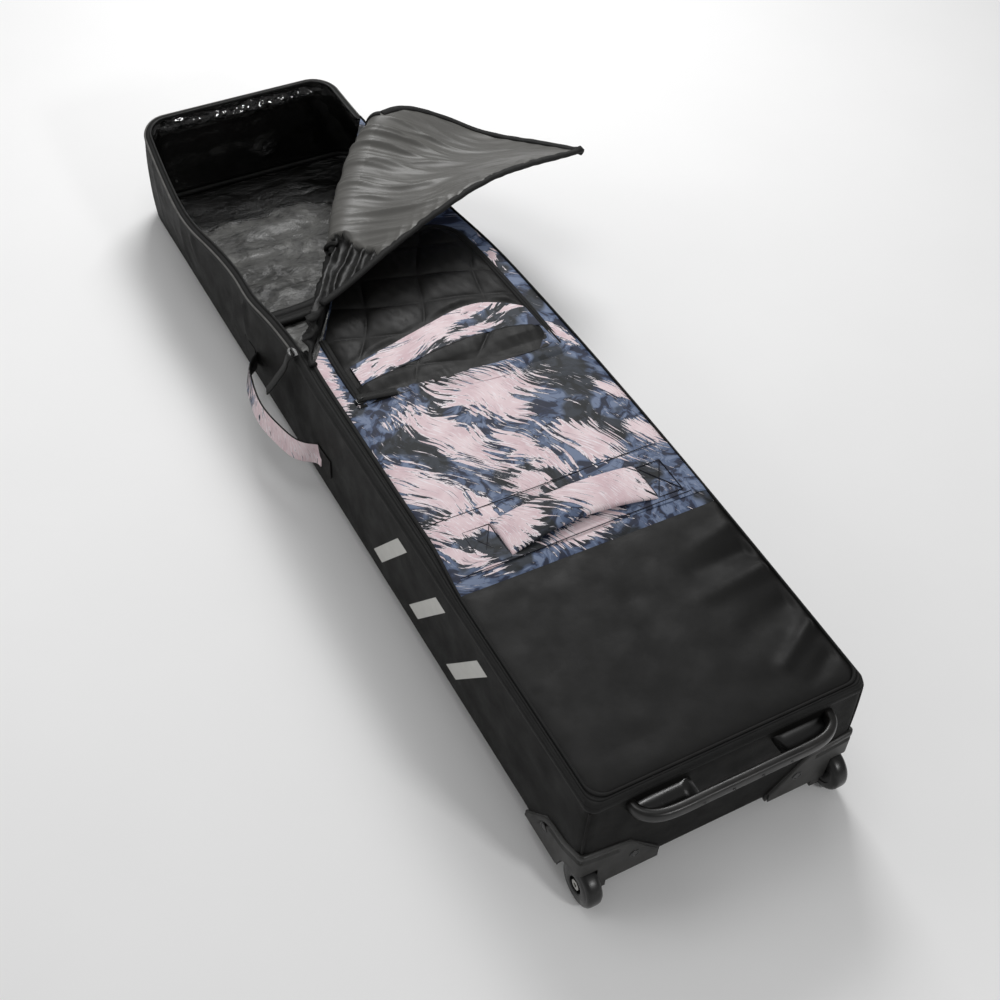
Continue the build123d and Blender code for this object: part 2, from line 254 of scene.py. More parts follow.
def soften(points):
    """Where a point of the square bag lies on the soft one: the open end spreads, leans and sags."""
    points = np.asarray(points, float)
    x, y, z = points[..., 0], points[..., 1], points[..., 2]
    across = np.clip((x + HALF) / (2 * HALF), 0, 1)
    high = np.clip(z / DEPTH, 0, 1)
    open_end = ease(y, 0.85, 1.25)
    belly = np.sin(math.pi * high) * (0.0025 + 0.0045 * open_end)
    folds = np.sin(math.pi * np.clip(high * 1.02, 0, 1)) * 0.0022 * ripples(y, 0.6 * z + 3 * across, 0.16, 4)
    left = -RIM_OUT_LEFT(y) * high ** 1.6 - belly - folds
    right = -RIM_IN_RIGHT(y) * ease(high, 0.0, 1.05) + belly + folds
    ends = np.sin(math.pi * high) * (ease(y, LENGTH - 0.08, LENGTH) * 0.006 - ease(-y, -0.06, 0) * 0.002)
    sag = RIM_SAG(y) * high * (1 - across) ** 1.5
    return np.stack([x + (1 - across) * left + across * right, y + ends, z - sag], axis=-1)


# Meshes

def corner_points(mesh):
    """The point that each corner of each face sits on."""
    corners = np.zeros(len(mesh.loops), np.int32)
    mesh.loops.foreach_get("vertex_index", corners)
    return corners


def new_piece(name, points, faces, materials, uv, face_material=None, smooth=True):
    """A mesh object from points in the bag's frame; uv holds each point's place on the cloth, in metres."""
    mesh = bpy.data.meshes.new(name)
    mesh.from_pydata(to_row(points).tolist(), [], [tuple(int(i) for i in f) for f in faces])
    for material in materials:
        mesh.materials.append(material)
    layer = mesh.uv_layers.new(name="cloth")
    layer.data.foreach_set("uv", np.asarray(uv, np.float32)[corner_points(mesh)].ravel())
    if face_material is not None:
        mesh.polygons.foreach_set("material_index", np.asarray(face_material, np.int32))
    if smooth:
        mesh.polygons.foreach_set("use_smooth", [True] * len(mesh.polygons))
    mesh.update()
    piece = bpy.data.objects.new(name, mesh)
    bpy.context.collection.objects.link(piece)
    return piece


def quads(rows, columns, wrap=False):
    """The faces of a grid of points, wrapped round its columns if asked."""
    i = np.arange(rows - 1)[:, None]
    j = np.arange(columns if wrap else columns - 1)[None, :]
    after = (j + 1) % columns
    corners = [i * columns + j, i * columns + after, (i + 1) * columns + after, (i + 1) * columns + j]
    return np.stack(np.broadcast_arrays(*corners), axis=-1).reshape(-1, 4)


def end_caps(rows, columns):
    """The two end faces of a grid wrapped round its columns."""
    return [tuple(range(columns - 1, -1, -1)), tuple(range((rows - 1) * columns, rows * columns))]


def merge_points(piece):
    """Joins points that fell together, drops faces that vanish and keeps open edges crisp."""
    distance = 0.00005
    mesh = bmesh.new()
    mesh.from_mesh(piece.data)
    bmesh.ops.remove_doubles(mesh, verts=mesh.verts, dist=distance)
    bmesh.ops.dissolve_degenerate(mesh, edges=mesh.edges, dist=distance / 5)
    for edge in mesh.edges:
        edge.smooth = not edge.is_boundary
    mesh.to_mesh(piece.data)
    mesh.free()


def surface(name, points, material, uv, thickness=0.0, under=None, flip=False, drop=None):
    """A piece from a grid of points, given a thickness below its top side and a material under it. drop says
    which face centres are left out."""
    points = np.asarray(points, float)
    faces = quads(*points.shape[:2])
    if flip:
        faces = faces[:, ::-1]
    flat = points.reshape(-1, 3)
    if drop is not None:
        faces = faces[~drop(flat[faces].mean(axis=1))]
    materials = [material] if under is None else [material, under]
    piece = new_piece(name, flat, faces, materials, np.asarray(uv).reshape(-1, 2))
    merge_points(piece)
    if thickness:
        solid = piece.modifiers.new("thickness", "SOLIDIFY")
        solid.thickness = thickness
        solid.offset = -1
        solid.use_even_offset = False
        solid.material_offset = 0 if under is None else 1
        solid.material_offset_rim = 0 if under is None else 1
    return piece


def sweep(name, path, inward, upward, profile, materials, skins=None, closed=False, smooth=True):
    """A profile of (inward, upward) steps carried along a path, its ends capped unless it closes. skins gives
    the material of each side of the profile."""
    path = np.asarray(path, float)
    profile = np.asarray(profile, float)
    inward = np.broadcast_to(inward, path.shape)
    upward = np.broadcast_to(upward, path.shape)
    points = path[:, None] + profile[None, :, :1] * inward[:, None] + profile[None, :, 1:] * upward[:, None]
    count, around = points.shape[:2]
    uv = np.stack(np.broadcast_arrays(lengths_along(path)[:, None], lengths_along(profile)), axis=-1)
    faces = list(quads(count, around, wrap=True))
    chosen = [0] * len(faces) if skins is None else skins * (count - 1)
    if closed:
        last = (count - 1) * around
        for j in range(around):
            after = (j + 1) % around
            faces.append((last + j, last + after, after, j))
            chosen.append(chosen[j])
    else:
        faces += end_caps(count, around)
        chosen += [0, 0]
    return new_piece(name, points.reshape(-1, 3), faces, materials, uv.reshape(-1, 2), chosen, smooth)


def tube(name, path, radius, materials, count=10, normal=UP, closed=False):
    """A round cord or piping along a path."""
    path = np.asarray(path, float)
    side = path_sides(path, normal)
    rise = unit(np.cross(headings(path), side))
    profile = np.stack(circle(count), axis=1) * radius
    return sweep(name, path, side, rise, profile, materials, closed=closed)


def lathe_x(name, profile, y, z, materials, turns):
    """A profile of (x, radius) turned about a line along X."""
    c, s = circle(turns)
    profile = np.asarray(profile, float)
    x, radius = profile[:, :1], profile[:, 1:]
    points = np.stack(np.broadcast_arrays(x, y + radius * c, z + radius * s), axis=-1)
    faces = quads(len(profile), turns, wrap=True)
    around = 0.03 * np.linspace(0, 2 * math.pi, turns, endpoint=False)
    uv = np.stack(np.broadcast_arrays(around, x + radius), axis=-1)
    piece = new_piece(name, points.reshape(-1, 3), faces, materials, uv.reshape(-1, 2))
    merge_points(piece)
    return piece


def polygon_prism(name, outline, lift, depth, materials, bevel):
    """A flat outline of points in space, raised along the vector lift, with softened edges."""
    outline = np.asarray(outline, float)
    raised = outline + np.asarray(lift) * depth
    count = len(outline)
    points = np.concatenate([outline, raised])
    faces = end_caps(2, count) + list(quads(2, count, wrap=True))
    piece = new_piece(name, points, faces, materials, points[:, :2], smooth=False)
    soften_edges(piece, bevel)
    return piece


def soften_edges(piece, width):
    """A small round on sharp edges."""
    rounding = piece.modifiers.new("edges", "BEVEL")
    rounding.width = width
    rounding.segments = 2
    rounding.limit_method = "ANGLE"
    rounding.angle_limit = math.radians(35)


# Materials

WEAVE_PITCH = 0.0011
WAVE_PERIOD = 0.314


class Finish:
    """A Principled material, with short ways to add nodes to it."""

    def __init__(self, name, colour, roughness, coordinates="UV", **fixed):
        self.material = bpy.data.materials.new(name)
        self.material.use_nodes = True
        self.tree = self.material.node_tree
        self.shader = self.tree.nodes["Principled BSDF"]
        self.shader.inputs["Base Color"].default_value = (*colour, 1)
        self.shader.inputs["Roughness"].default_value = roughness
        for key, value in fixed.items():
            self.shader.inputs[key.replace("_", " ")].default_value = value
        self.colour = colour
        self.place = self.node("TexCoord").outputs[coordinates]
        self.normal = None

    def node(self, kind, values=None, **settings):
        """A node of this kind, its inputs set to values or linked to sockets."""
        made = self.tree.nodes.new("ShaderNode" + kind)
        for key, value in settings.items():
            setattr(made, key, value)
        for key, value in (values or {}).items():
            if isinstance(value, bpy.types.NodeSocket):
                self.tree.links.new(value, made.inputs[key])
            else:
                made.inputs[key].default_value = value
        return made

    def link(self, socket, name):
        self.tree.links.new(socket, self.shader.inputs[name])

    def stretched(self, scale, turn=0.0):
        """The place, turned and scaled, for a texture that is longer one way."""
        mapping = self.node("Mapping", {"Vector": self.place, "Rotation": (0, 0, turn), "Scale": scale})
        return mapping.outputs["Vector"]

    def noise(self, scale, detail, roughness=0.55, place=None, distortion=0.0):
        values = {"Vector": place or self.place, "Scale": scale, "Detail": detail,
                  "Roughness": roughness, "Distortion": distortion}
        return self.node("TexNoise", values).outputs["Fac"]

    def math(self, operation, first, second):
        """One sum of two numbers."""
        return self.node("Math", {0: first, 1: second}, operation=operation).outputs[0]

    def over(self, base, colour, factor):
        """The colour laid over the base where factor is 1."""
        return self.node("Mix", {0: factor, 6: base, 7: colour}, data_type="RGBA").outputs[2]

    def strewn(self, scale, reach, detail):
        """The place, moved about by up to reach, so that a pattern on it wanders."""
        noise = self.node("TexNoise", {"Vector": self.place, "Scale": scale, "Detail": detail})
        sway = self.node("VectorMath", {0: noise.outputs["Color"], 1: reach}, operation="MULTIPLY").outputs[0]
        return self.node("VectorMath", {0: self.place, 1: sway}, operation="ADD").outputs[0]

    def number(self, name):
        """A number that the mesh stores on its points."""
        return self.node("Attribute", attribute_name=name).outputs["Fac"]

    def ramp(self, factor, stops):
        """A colour or value that changes with factor: stops are (position, grey or colour)."""
        made = self.node("ValToRGB", {"Fac": factor})
        elements = made.color_ramp.elements
        while len(elements) < len(stops):
            elements.new(0.5)
        for element, (position, value) in zip(elements, stops):
            element.position = position
            element.color = (*value, 1) if isinstance(value, tuple) else (value, value, value, 1)
        return made.outputs["Color"]

    def rise(self, factor, low, high, top=1.0):
        """0 while factor is below low, then up to top at high."""
        return self.ramp(factor, [(low, 0.0), (high, top)])

    def bump(self, height, distance, strength):
        """Relief of this height, over the relief that is already there."""
        values = {"Height": height, "Distance": distance, "Strength": strength}
        if self.normal is not None:
            values["Normal"] = self.normal
        self.normal = self.node("Bump", values).outputs["Normal"]
        self.link(self.normal, "Normal")

    def weave(self, pitch, depth, strength):
        """Crossing threads of this pitch."""
        values = {"Vector": self.place, "Scale": WAVE_PERIOD / pitch, "Distortion": 0.6, "Detail": 1.0}
        warp, weft = (self.node("TexWave", values, bands_direction=way).outputs["Fac"] for way in "XY")
        self.bump(self.math("MULTIPLY", warp, weft), depth, strength)

    def mottle(self, scale, low, high):
        """Brightness that wanders over the colour between two multipliers."""
        tone = self.noise(scale, 5.0)
        dark = tuple(c * low for c in self.colour)
        light = tuple(min(1.0, c * high) for c in self.colour)
        self.link(self.ramp(tone, [(0.3, dark), (0.7, light)]), "Base Color")

    def wear(self, scale, low, high):
        """Roughness that wanders between two values."""
        self.link(self.ramp(self.noise(scale, 6.0), [(0.3, low), (0.7, high)]), "Roughness")


def woven(name, colour, roughness, shine):
    """Matte woven polyester."""
    cloth = Finish(name, colour, roughness, Specular_IOR_Level=shine)
    cloth.mottle(14, 0.75, 1.3)
    cloth.wear(22, roughness - 0.1, min(1, roughness + 0.1))
    cloth.bump(cloth.noise(35, 5.0), 0.0012, 0.35)
    cloth.weave(WEAVE_PITCH, 0.00022, 0.5)
    return cloth.material


def printed_fabric():
    """Pink patches brushed over slate blue, navy and charcoal, feathering out in long thin strokes."""
    cloth = Finish("painted_print", (0.5, 0.4, 0.45), 0.62, Specular_IOR_Level=0.3)
    patch = cloth.number("pink")
    bent = cloth.strewn(6.0, (0.16, 0.09, 0.0), 1.0)

    def strokes(turn, width, length, detail):
        values = {"Vector": bent, "Rotation": (0, 0, math.radians(turn)), "Scale": (width, length, 1)}
        mapping = cloth.node("Mapping", values, vector_type="TEXTURE")
        return cloth.noise(1.0, detail, 0.6, mapping.outputs["Vector"])

    side = cloth.rise(cloth.noise(7.0, 1.0), 0.46, 0.54)
    first, second = strokes(24, 0.0052, 0.062, 4.0), strokes(47, 0.0044, 0.050, 4.0)
    feather = cloth.node("Mix", {0: side, 2: first, 3: second}, data_type="FLOAT").outputs[0]
    edge = cloth.math("MULTIPLY", cloth.math("SUBTRACT", feather, 0.5), 2.5)
    field = cloth.math("ADD", patch, edge)

    blots = cloth.noise(46, 3.0, 0.5, bent, 0.9)
    slate = cloth.ramp(blots, [(0.40, (0.016, 0.021, 0.042)), (0.455, (0.026, 0.036, 0.074)),
                               (0.47, (0.072, 0.100, 0.170)), (0.55, (0.092, 0.126, 0.210)),
                               (0.57, (0.150, 0.190, 0.285))])
    dark = cloth.ramp(blots, [(0.42, (0.009, 0.011, 0.013)), (0.58, (0.028, 0.034, 0.044))])
    dusk = cloth.rise(cloth.noise(11, 2.0, 0.5), 0.43, 0.48)
    under = cloth.over(dark, slate, dusk)
    wisps = cloth.rise(strokes(36, 0.0036, 0.042, 3.0), 0.655, 0.70)
    under = cloth.over(under, (0.45, 0.43, 0.47, 1), wisps)
    pink = cloth.ramp(cloth.noise(20, 4.0), [(0.36, (0.60, 0.445, 0.475)), (0.64, (0.74, 0.61, 0.63))])
    colour = cloth.over(under, (0.012, 0.015, 0.022, 1), cloth.rise(field, 0.37, 0.43))
    colour = cloth.over(colour, (0.78, 0.73, 0.76, 1), cloth.rise(field, 0.46, 0.48))
    colour = cloth.over(colour, pink, cloth.rise(field, 0.52, 0.56))
    pale = cloth.rise(strokes(28, 0.0019, 0.030, 3.0), 0.56, 0.62, 0.8)
    in_patch = cloth.rise(field, 0.44, 0.50)
    colour = cloth.over(colour, (0.80, 0.75, 0.78, 1), cloth.math("MULTIPLY", pale, in_patch))
    hairs = cloth.rise(strokes(32, 0.0021, 0.034, 3.0), 0.61, 0.66, 0.9)
    near_edge = cloth.ramp(field, [(0.55, 1.0), (0.95, 0.25)])
    colour = cloth.over(colour, (0.050, 0.055, 0.085, 1), cloth.math("MULTIPLY", hairs, near_edge))
    cloth.link(colour, "Base Color")
    cloth.bump(cloth.noise(35, 5.0), 0.001, 0.3)
    cloth.weave(WEAVE_PITCH, 0.0002, 0.4)
    return cloth.material


def gloss_cloth(name, colour, roughness, crumple, depth, coat, ior):
    """Coated lining that crumples in sharp facets, most where its crumple number is high. Also gives the
    facets' pattern."""
    cloth = Finish(name, colour, roughness, Coat_Weight=coat, Coat_Roughness=0.06, IOR=ior)
    amount = cloth.number("crumple")
    bent = cloth.strewn(crumple * 0.4, (0.9 / crumple,) * 3, 2.0)
    facets = cloth.node("TexVoronoi", {"Vector": bent, "Scale": crumple, "Randomness": 1.0},
                        feature="DISTANCE_TO_EDGE").outputs["Distance"]
    ridges = cloth.noise(crumple * 1.4, 5.0, 0.6, distortion=1.2)
    cloth.bump(cloth.math("MULTIPLY", facets, amount), depth, 0.8)
    cloth.bump(cloth.math("MULTIPLY", ridges, amount), depth * 1.5, 0.9)
    cloth.wear(18, roughness - 0.06, roughness + 0.14)
    return cloth, facets


def wall_cloth():
    """The lining's walls: black and glossy."""
    cloth, _ = gloss_cloth("gloss_lining_cloth", (0.0028, 0.0028, 0.0025), 0.12, 62, 0.0080, 1.0, 1.6)
    return cloth.material


def floor_cloth():
    """The lining's floor, black coated cloth: painted grey and duller where the light it reflects is painted
    into its colour, with painted shade in its creases; left black and glossy at the far end, where the far
    wall's shade falls.
    """
    cloth, facets = gloss_cloth("floor_lining_cloth", (0.1, 0.1, 0.1), 0.33, 17, 0.0050, 0.06, 1.5)
    grey = cloth.number("grey")
    tone = cloth.ramp(cloth.noise(9, 8.0, 0.68, distortion=0.5),
                      [(0.36, (0.018, 0.018, 0.016)), (0.46, (0.062, 0.062, 0.059)),
                       (0.64, (0.130, 0.130, 0.123))])
    folds = cloth.noise(1.0, 7.0, 0.62, cloth.stretched((11, 27, 1), math.radians(-18)), 0.8)
    cloth.bump(folds, 0.0180, 0.9)
    # Painted shade: the floor's crease lines and fold valleys are darkened in its colour.
    crease_shade = cloth.math("ADD", cloth.rise(facets, 0.0, 0.035),
                        cloth.ramp(cloth.noise(8, 2.0), [(0.44, 1.0), (0.56, 0.0)]))
    crease_shade = cloth.math("MAXIMUM", cloth.ramp(crease_shade, [(0.0, 0.85), (0.9, 0.0)]),
                        cloth.ramp(folds, [(0.36, 0.94), (0.455, 0.0)]))
    tone = cloth.over(tone, (0.014, 0.014, 0.013, 1), crease_shade)
    # Painted reflection: the grey tone stands for light reflected off the black coating, laid over black
    # where grey is 1.
    cloth.link(cloth.over((0.0036, 0.0036, 0.0032, 1), tone, grey), "Base Color")
    cloth.link(cloth.ramp(grey, [(0.3, 0.24), (0.7, 0.46)]), "Roughness")
    return cloth.material


def satin(name, colour):
    """The flap's smooth grey lining."""
    cloth = Finish(name, colour, 0.46, Specular_IOR_Level=0.5)
    cloth.mottle(10, 0.9, 1.08)
    cloth.bump(cloth.noise(1.0, 5.0, 0.6, cloth.stretched((30, 120, 1))), 0.0006, 0.35)
    cloth.weave(0.0007, 0.0001, 0.4)
    return cloth.material


def ribbed(name, colour, pitch, roughness=0.7, depth=0.0003):
    """Webbing or zip tape: ribs across its length, fuzz over them."""
    cloth = Finish(name, colour, roughness, Specular_IOR_Level=0.3)
    cloth.mottle(40, 0.7, 1.4)
    ribs = cloth.node("TexWave", {"Vector": cloth.place, "Scale": WAVE_PERIOD / pitch, "Distortion": 0.3},
                      bands_direction="X").outputs["Fac"]
    cloth.bump(ribs, depth, 0.7)
    cloth.weave(0.0006, 0.00012, 0.4)
    return cloth.material


def ink(name, colour):
    """Flat ink printed over the weave."""
    cloth = Finish(name, colour, 0.6, Specular_IOR_Level=0.3)
    cloth.mottle(60, 0.94, 1.03)
    cloth.weave(WEAVE_PITCH, 0.0001, 0.4)
    return cloth.material


def moulded(name, colour, roughness, grain=900.0, worn=None, gloss=0.0):
    """Moulded plastic with a fine grain, dulled and paled where it is handled."""
    plastic = Finish(name, colour, roughness, "Object", Coat_Weight=gloss, Coat_Roughness=0.2)
    plastic.wear(30, roughness - 0.08, roughness + 0.12)
    if worn is None:
        plastic.mottle(25, 0.8, 1.25)
    else:
        scuff = plastic.rise(plastic.noise(24, 8.0, 0.7), 0.45, 0.72)
        plastic.link(plastic.over((*colour, 1), (*worn, 1), scuff), "Base Color")
    plastic.bump(plastic.noise(grain, 2.0), 0.00012, 0.5)
    return plastic.material


def metal(name, colour, roughness, metallic=1.0):
    """Plated or enamelled metal with fine scratches."""
    plate = Finish(name, colour, roughness, "Object", Metallic=metallic)
    plate.wear(120, roughness - 0.08, roughness + 0.15)
    plate.mottle(200, 0.8, 1.1)
    plate.bump(plate.noise(1.0, 3.0, 0.6, plate.stretched((2200, 260, 2200))), 0.00005, 0.4)
    return plate.material


BLACK = woven("black_polyester", (0.0040, 0.0039, 0.0035), 0.66, 0.18)
LID_BLACK = woven("lid_polyester", (0.0042, 0.0041, 0.0039), 0.54, 0.21)
PRINT = printed_fabric()
LINING = wall_cloth()
FLOOR = floor_cloth()
SATIN = satin("grey_satin", (0.082, 0.080, 0.074))
GUSSET = woven("gusset_nylon", (0.0035, 0.0034, 0.0032), 0.40, 0.28)
QUILT = woven("quilted_polyester", (0.0045, 0.0044, 0.0041), 0.52, 0.23)
TAPE = ribbed("zip_tape_cloth", (0.0062, 0.0062, 0.0060), 0.0012)
COIL = ribbed("zip_coil", (0.020, 0.020, 0.020), 0.0016, 0.35, 0.0006)
# Painted highlight: the rim piping's pale grey stands for the light line along the black rim.
PIPING_PAINTED_HIGHLIGHT = ribbed("rim_piping_painted_highlight", (0.10, 0.098, 0.094), 0.0010, 0.5)
WEBBING = ribbed("webbing_cloth", (0.0080, 0.0080, 0.0076), 0.0022, 0.6, 0.0005)
GUARD = moulded("guard_plastic", (0.0175, 0.0172, 0.0160), 0.50)
HANDLE = moulded("handle_plastic", (0.0045, 0.0045, 0.0044), 0.28, gloss=0.15)
HANDLE_WORN = moulded("handle_rim_plastic", (0.0036, 0.0035, 0.0032), 0.34, worn=(0.015, 0.0135, 0.012),
                      gloss=0.06)
STIFFENER = moulded("stiffener_sheet", (0.05, 0.05, 0.05), 0.5)
FOAM = moulded("foam_sheet", (0.10, 0.10, 0.10), 0.9, 300.0)
RUBBER = moulded("tyre_rubber", (0.0048, 0.0048, 0.0048), 0.27)
HUB = moulded("hub_plastic", (0.005, 0.005, 0.005), 0.35)
STEEL = metal("plated_steel", (0.62, 0.61, 0.58), 0.28)
ENAMEL = metal("black_enamel", (0.010, 0.010, 0.010), 0.38, 0.1)
THREAD = ribbed("dark_thread", (0.010, 0.010, 0.016), 0.002, 0.8)
MARK = ink("pale_print_ink", (0.56, 0.555, 0.53))


def bag_places(piece):
    """The piece's points in the bag's frame."""
    points = np.zeros(3 * len(piece.data.vertices), np.float32)
    piece.data.vertices.foreach_get("co", points)
    return (points.reshape(-1, 3) - BAG_SHIFT) @ BAG_TURN


def put(piece, name, values):
    """Stores a number on each point of a piece, for its material."""
    layer = piece.data.attributes.new(name, "FLOAT", "POINT")
    layer.data.foreach_set("value", np.asarray(values, np.float32))


def paint_print(piece, patches=None, shift=(0.0, 0.0), on_lid=True):
    """Gives each point the strength of the pink patches at its place on the lid, or on its own cloth."""
    mesh = piece.data
    if on_lid:
        place = bag_places(piece)[:, :2]
    else:
        spots = np.zeros(2 * len(mesh.loops), np.float32)
        mesh.uv_layers["cloth"].data.foreach_get("uv", spots)
        place = np.zeros((len(mesh.vertices), 2))
        place[corner_points(mesh)] = spots.reshape(-1, 2)
    x = place[:, 0] + shift[0]
    y = place[:, 1] + shift[1]
    total = np.full(len(x), 0.10)
    for cx, cy, long, wide, turn in patches or LID_PATCHES:
        c, s = math.cos(math.radians(turn)), math.sin(math.radians(turn))
        u = ((x - cx) * c + (y - cy) * s) / long
        v = (-(x - cx) * s + (y - cy) * c) / wide
        total = np.maximum(total, 0.10 + 0.78 * np.exp(-0.75 * (u * u + v * v) ** 1.1))
    put(piece, "pink", total)


# Pink patches: centre x and y on the cloth, half length, half width, and the turn of the long way
LID_PATCHES = [
    (0.022, 0.705, 0.072, 0.040, -12), (0.030, 0.665, 0.040, 0.034, -60), (-0.075, 0.632, 0.090, 0.030, -62),
    (0.020, 0.560, 0.068, 0.020, -62), (0.105, 0.545, 0.058, 0.026, -58), (-0.150, 0.545, 0.085, 0.028, -56),
    (-0.016, 0.505, 0.030, 0.026, 0), (0.196, 0.525, 0.030, 0.018, -60), (-0.140, 0.468, 0.060, 0.024, -8),
    (0.010, 0.392, 0.056, 0.016, 5), (-0.186, 0.830, 0.085, 0.012, 85), (0.188, 0.765, 0.030, 0.010, -70),
    (0.184, 0.985, 0.020, 0.008, 60), (-0.165, 0.415, 0.040, 0.014, -45), (0.198, 0.620, 0.030, 0.010, -60),
]
BAND_PATCHES = [
    (-0.060, 0.832, 0.085, 0.024, 14), (0.010, 0.858, 0.075, 0.020, 14), (0.090, 0.872, 0.040, 0.012, 0),
    (0.060, 0.828, 0.050, 0.008, 0), (-0.130, 0.815, 0.040, 0.012, 40), (0.150, 0.850, 0.030, 0.007, 0),
]
GRIP_PATCHES = [
    (-0.088, 0.725, 0.030, 0.060, -60), (0.078, 0.725, 0.060, 0.100, 0), (0.022, 0.748, 0.040, 0.020, -20),
]
LOOP_PATCHES = [(0.235, 0.02, 0.13, 0.10, 0)]


# Places and pieces

def settle(piece, body, slot, *nodes):
    """The body that a piece rides on and the CAD nodes that it stands for, which are hidden. slot is not
    used.
    """
    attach(piece, body)
    if nodes:
        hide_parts(*nodes)


def soft_cloth(name, x, y, z, material, thickness, uv=None):
    """A cloth over a grid of places in the square bag, moved to where the soft one has them. Its weave and
    print follow x and y unless uv is given."""
    points = np.stack(np.broadcast_arrays(x, y, z), axis=-1)
    if uv is None:
        uv = points[..., :2]
    return surface(name, soften(points), material, uv, thickness=thickness)


def plan(inset, near_r, far_r):
    """Points round the bag, this far inside it: from the fold's left end, round the near end, up the right
    side and round the far end back to it. Also where the closed lid's part of them ends."""
    side = HALF - inset
    near = inset
    far = LENGTH - inset

    def corner(x, y, radius, start, count):
        turn = np.radians(np.linspace(start, start + 90, count, endpoint=False))
        return np.stack([x + radius * np.cos(turn), y + radius * np.sin(turn)], axis=1)

    def run(x0, y0, x1, y1, count):
        t = np.linspace(0, 1, count, endpoint=False)
        return np.stack([mix(x0, x1, t), mix(y0, y1, t)], axis=1)

    left_y = FOLD_START[1]
    lid = [run(-side, left_y, -side, near + near_r, 120),
           corner(-side + near_r, near + near_r, near_r, 180, 14),
           run(-side + near_r, near, side - near_r, near, 60),
           corner(side - near_r, near + near_r, near_r, 270, 14),
           run(side, near + near_r, side, FOLD_RIGHT_Y, 190)]
    rim = [run(side, FOLD_RIGHT_Y, side, far - far_r, 14), corner(side - far_r, far - far_r, far_r, 0, 16),
           run(side - far_r, far, -side + far_r, far, 60), corner(-side + far_r, far - far_r, far_r, 90, 16),
           run(-side, far - far_r, -side, left_y, 100)]
    return np.concatenate(lid + rim), sum(len(part) for part in lid)


def rings(levels, shrink=()):
    """Rows of points round the bag, one for each (inset, height), closed on themselves. Before them come
    copies of the first row, shrunk to each of these shares to cover the back."""
    rows = []
    for inset, height in levels:
        outline, _ = plan(inset, NEAR_R - inset, FAR_R - inset)
        rows.append(at_height(outline, height))
    first = rows[0]
    middle = LENGTH / 2
    for share in shrink:
        y = middle + (first[:, 1] - middle) * mix(0.8, 1, share)
        rows.insert(0, np.stack([first[:, 0] * share, y, first[:, 2]], axis=1))
    rows = np.array(rows)
    return np.concatenate([rows, rows[:, :1]], axis=1)


def length_uv(points):
    """Cloth coordinates from lengths along and up a grid of rings."""
    along, up = lengths_along(points[-1]), lengths_along(points[:, 0])
    return np.stack(np.broadcast_arrays(along, up[:, None]), axis=-1)


def in_wheel_well(centres):
    """True for faces in the corner spaces that the wheel housings take."""
    outside = np.abs(centres[:, 0]) > HALF - 0.043
    return outside & (centres[:, 1] < 0.049) & (centres[:, 2] < 0.049)


def slack_folds(points):
    """Upright folds in the left wall beside the open mouth."""
    x, y, z = points[..., 0], points[..., 1], points[..., 2]
    high = np.clip(z / WALL_TOP, 0, 1)
    ridge = 1 - np.abs(np.sin(math.pi * (y / 0.058 + 0.30 * z + 0.5 * ripples(y, z, 0.22, 15))))
    live = np.clip(0.35 + 0.8 * ripples(y, 0.6 * z, 0.12, 16), 0, 1)
    reach = ease(y, 0.93, 1.10) * (1 - ease(y, 1.50, 1.56)) * (x < -HALF + 0.002)
    return 0.0060 * ridge ** 2.2 * live * reach * high ** 0.8 * (1 - ease(high, 0.93, 1.0))


def make_shell():
    """Outer fabric: the back and all four walls in one skin."""
    heights = np.linspace(0.010, WALL_TOP, 28)
    levels = [(0.009, 0.0), (0.0035, 0.0012), (0.0008, 0.0045)] + [(0.0, z) for z in heights]
    points = rings(levels, shrink=(0.92, 0.6, 0.25, 0.0))
    uv = length_uv(points)
    soft = soften(points)
    soft[..., 0] -= slack_folds(points)
    shell = surface("shell_fabric", soft, BLACK, uv, thickness=0.003, drop=in_wheel_well)
    settle(shell, "root", "black_fabric", "back_panel", "near_end_wall", "far_end_wall", "left_side_wall",
           "right_side_wall")


def foot_patches(points):
    """1 in a few crumpled patches low on the walls, 0 elsewhere."""
    x, y, z = points[..., 0], points[..., 1], points[..., 2]
    low = np.exp(-((z - 0.050) / 0.024) ** 2)
    return low * ease(ripples(x + y, z, 0.09, 37), 0.1, 0.7)


def make_wall_lining():
    """The glossy lining on the inside of the walls."""
    heights = np.concatenate([np.linspace(FLOOR_Z - 0.001, 0.148, 24), np.linspace(0.151, 0.188, 18)])
    points = rings([(LINING_INSET, z) for z in heights])
    uv = length_uv(points)
    soft = soften(points)
    middle = np.stack([soft[..., 0] * 0.2, np.clip(soft[..., 1], 0.3, 1.3), soft[..., 2]], axis=-1)
    inward = unit(middle - soft)
    high = (points[..., 2] - FLOOR_Z) / 0.18
    crumple = creases(uv[..., 0], uv[..., 1], 0.055, 11) * 0.004 * np.sin(math.pi * np.clip(high, 0, 1))
    lip = 0.0100 * ease(points[..., 2], 0.09, 0.158) * (1 - ease(points[..., 2], 0.162, 0.187))
    fine = creases(1.3 * uv[..., 0], uv[..., 1], 0.024, 13) * 0.0042 * ease(points[..., 2], 0.140, 0.160)
    foot = creases(uv[..., 0], uv[..., 1], 0.034, 14) * 0.0050 * foot_patches(points)
    soft = soft + inward * (crumple + lip + fine + foot + 0.0006)[..., None]
    lining = surface("wall_lining_cloth", soft, LINING, uv, thickness=0.0008, flip=True, drop=in_wheel_well)
    places = bag_places(lining)
    put(lining, "crumple", 0.10 + 0.9 * ease(places[:, 2], 0.150, 0.172) + 0.9 * foot_patches(places))
    settle(lining, "root", "gloss_lining", "wall_lining")


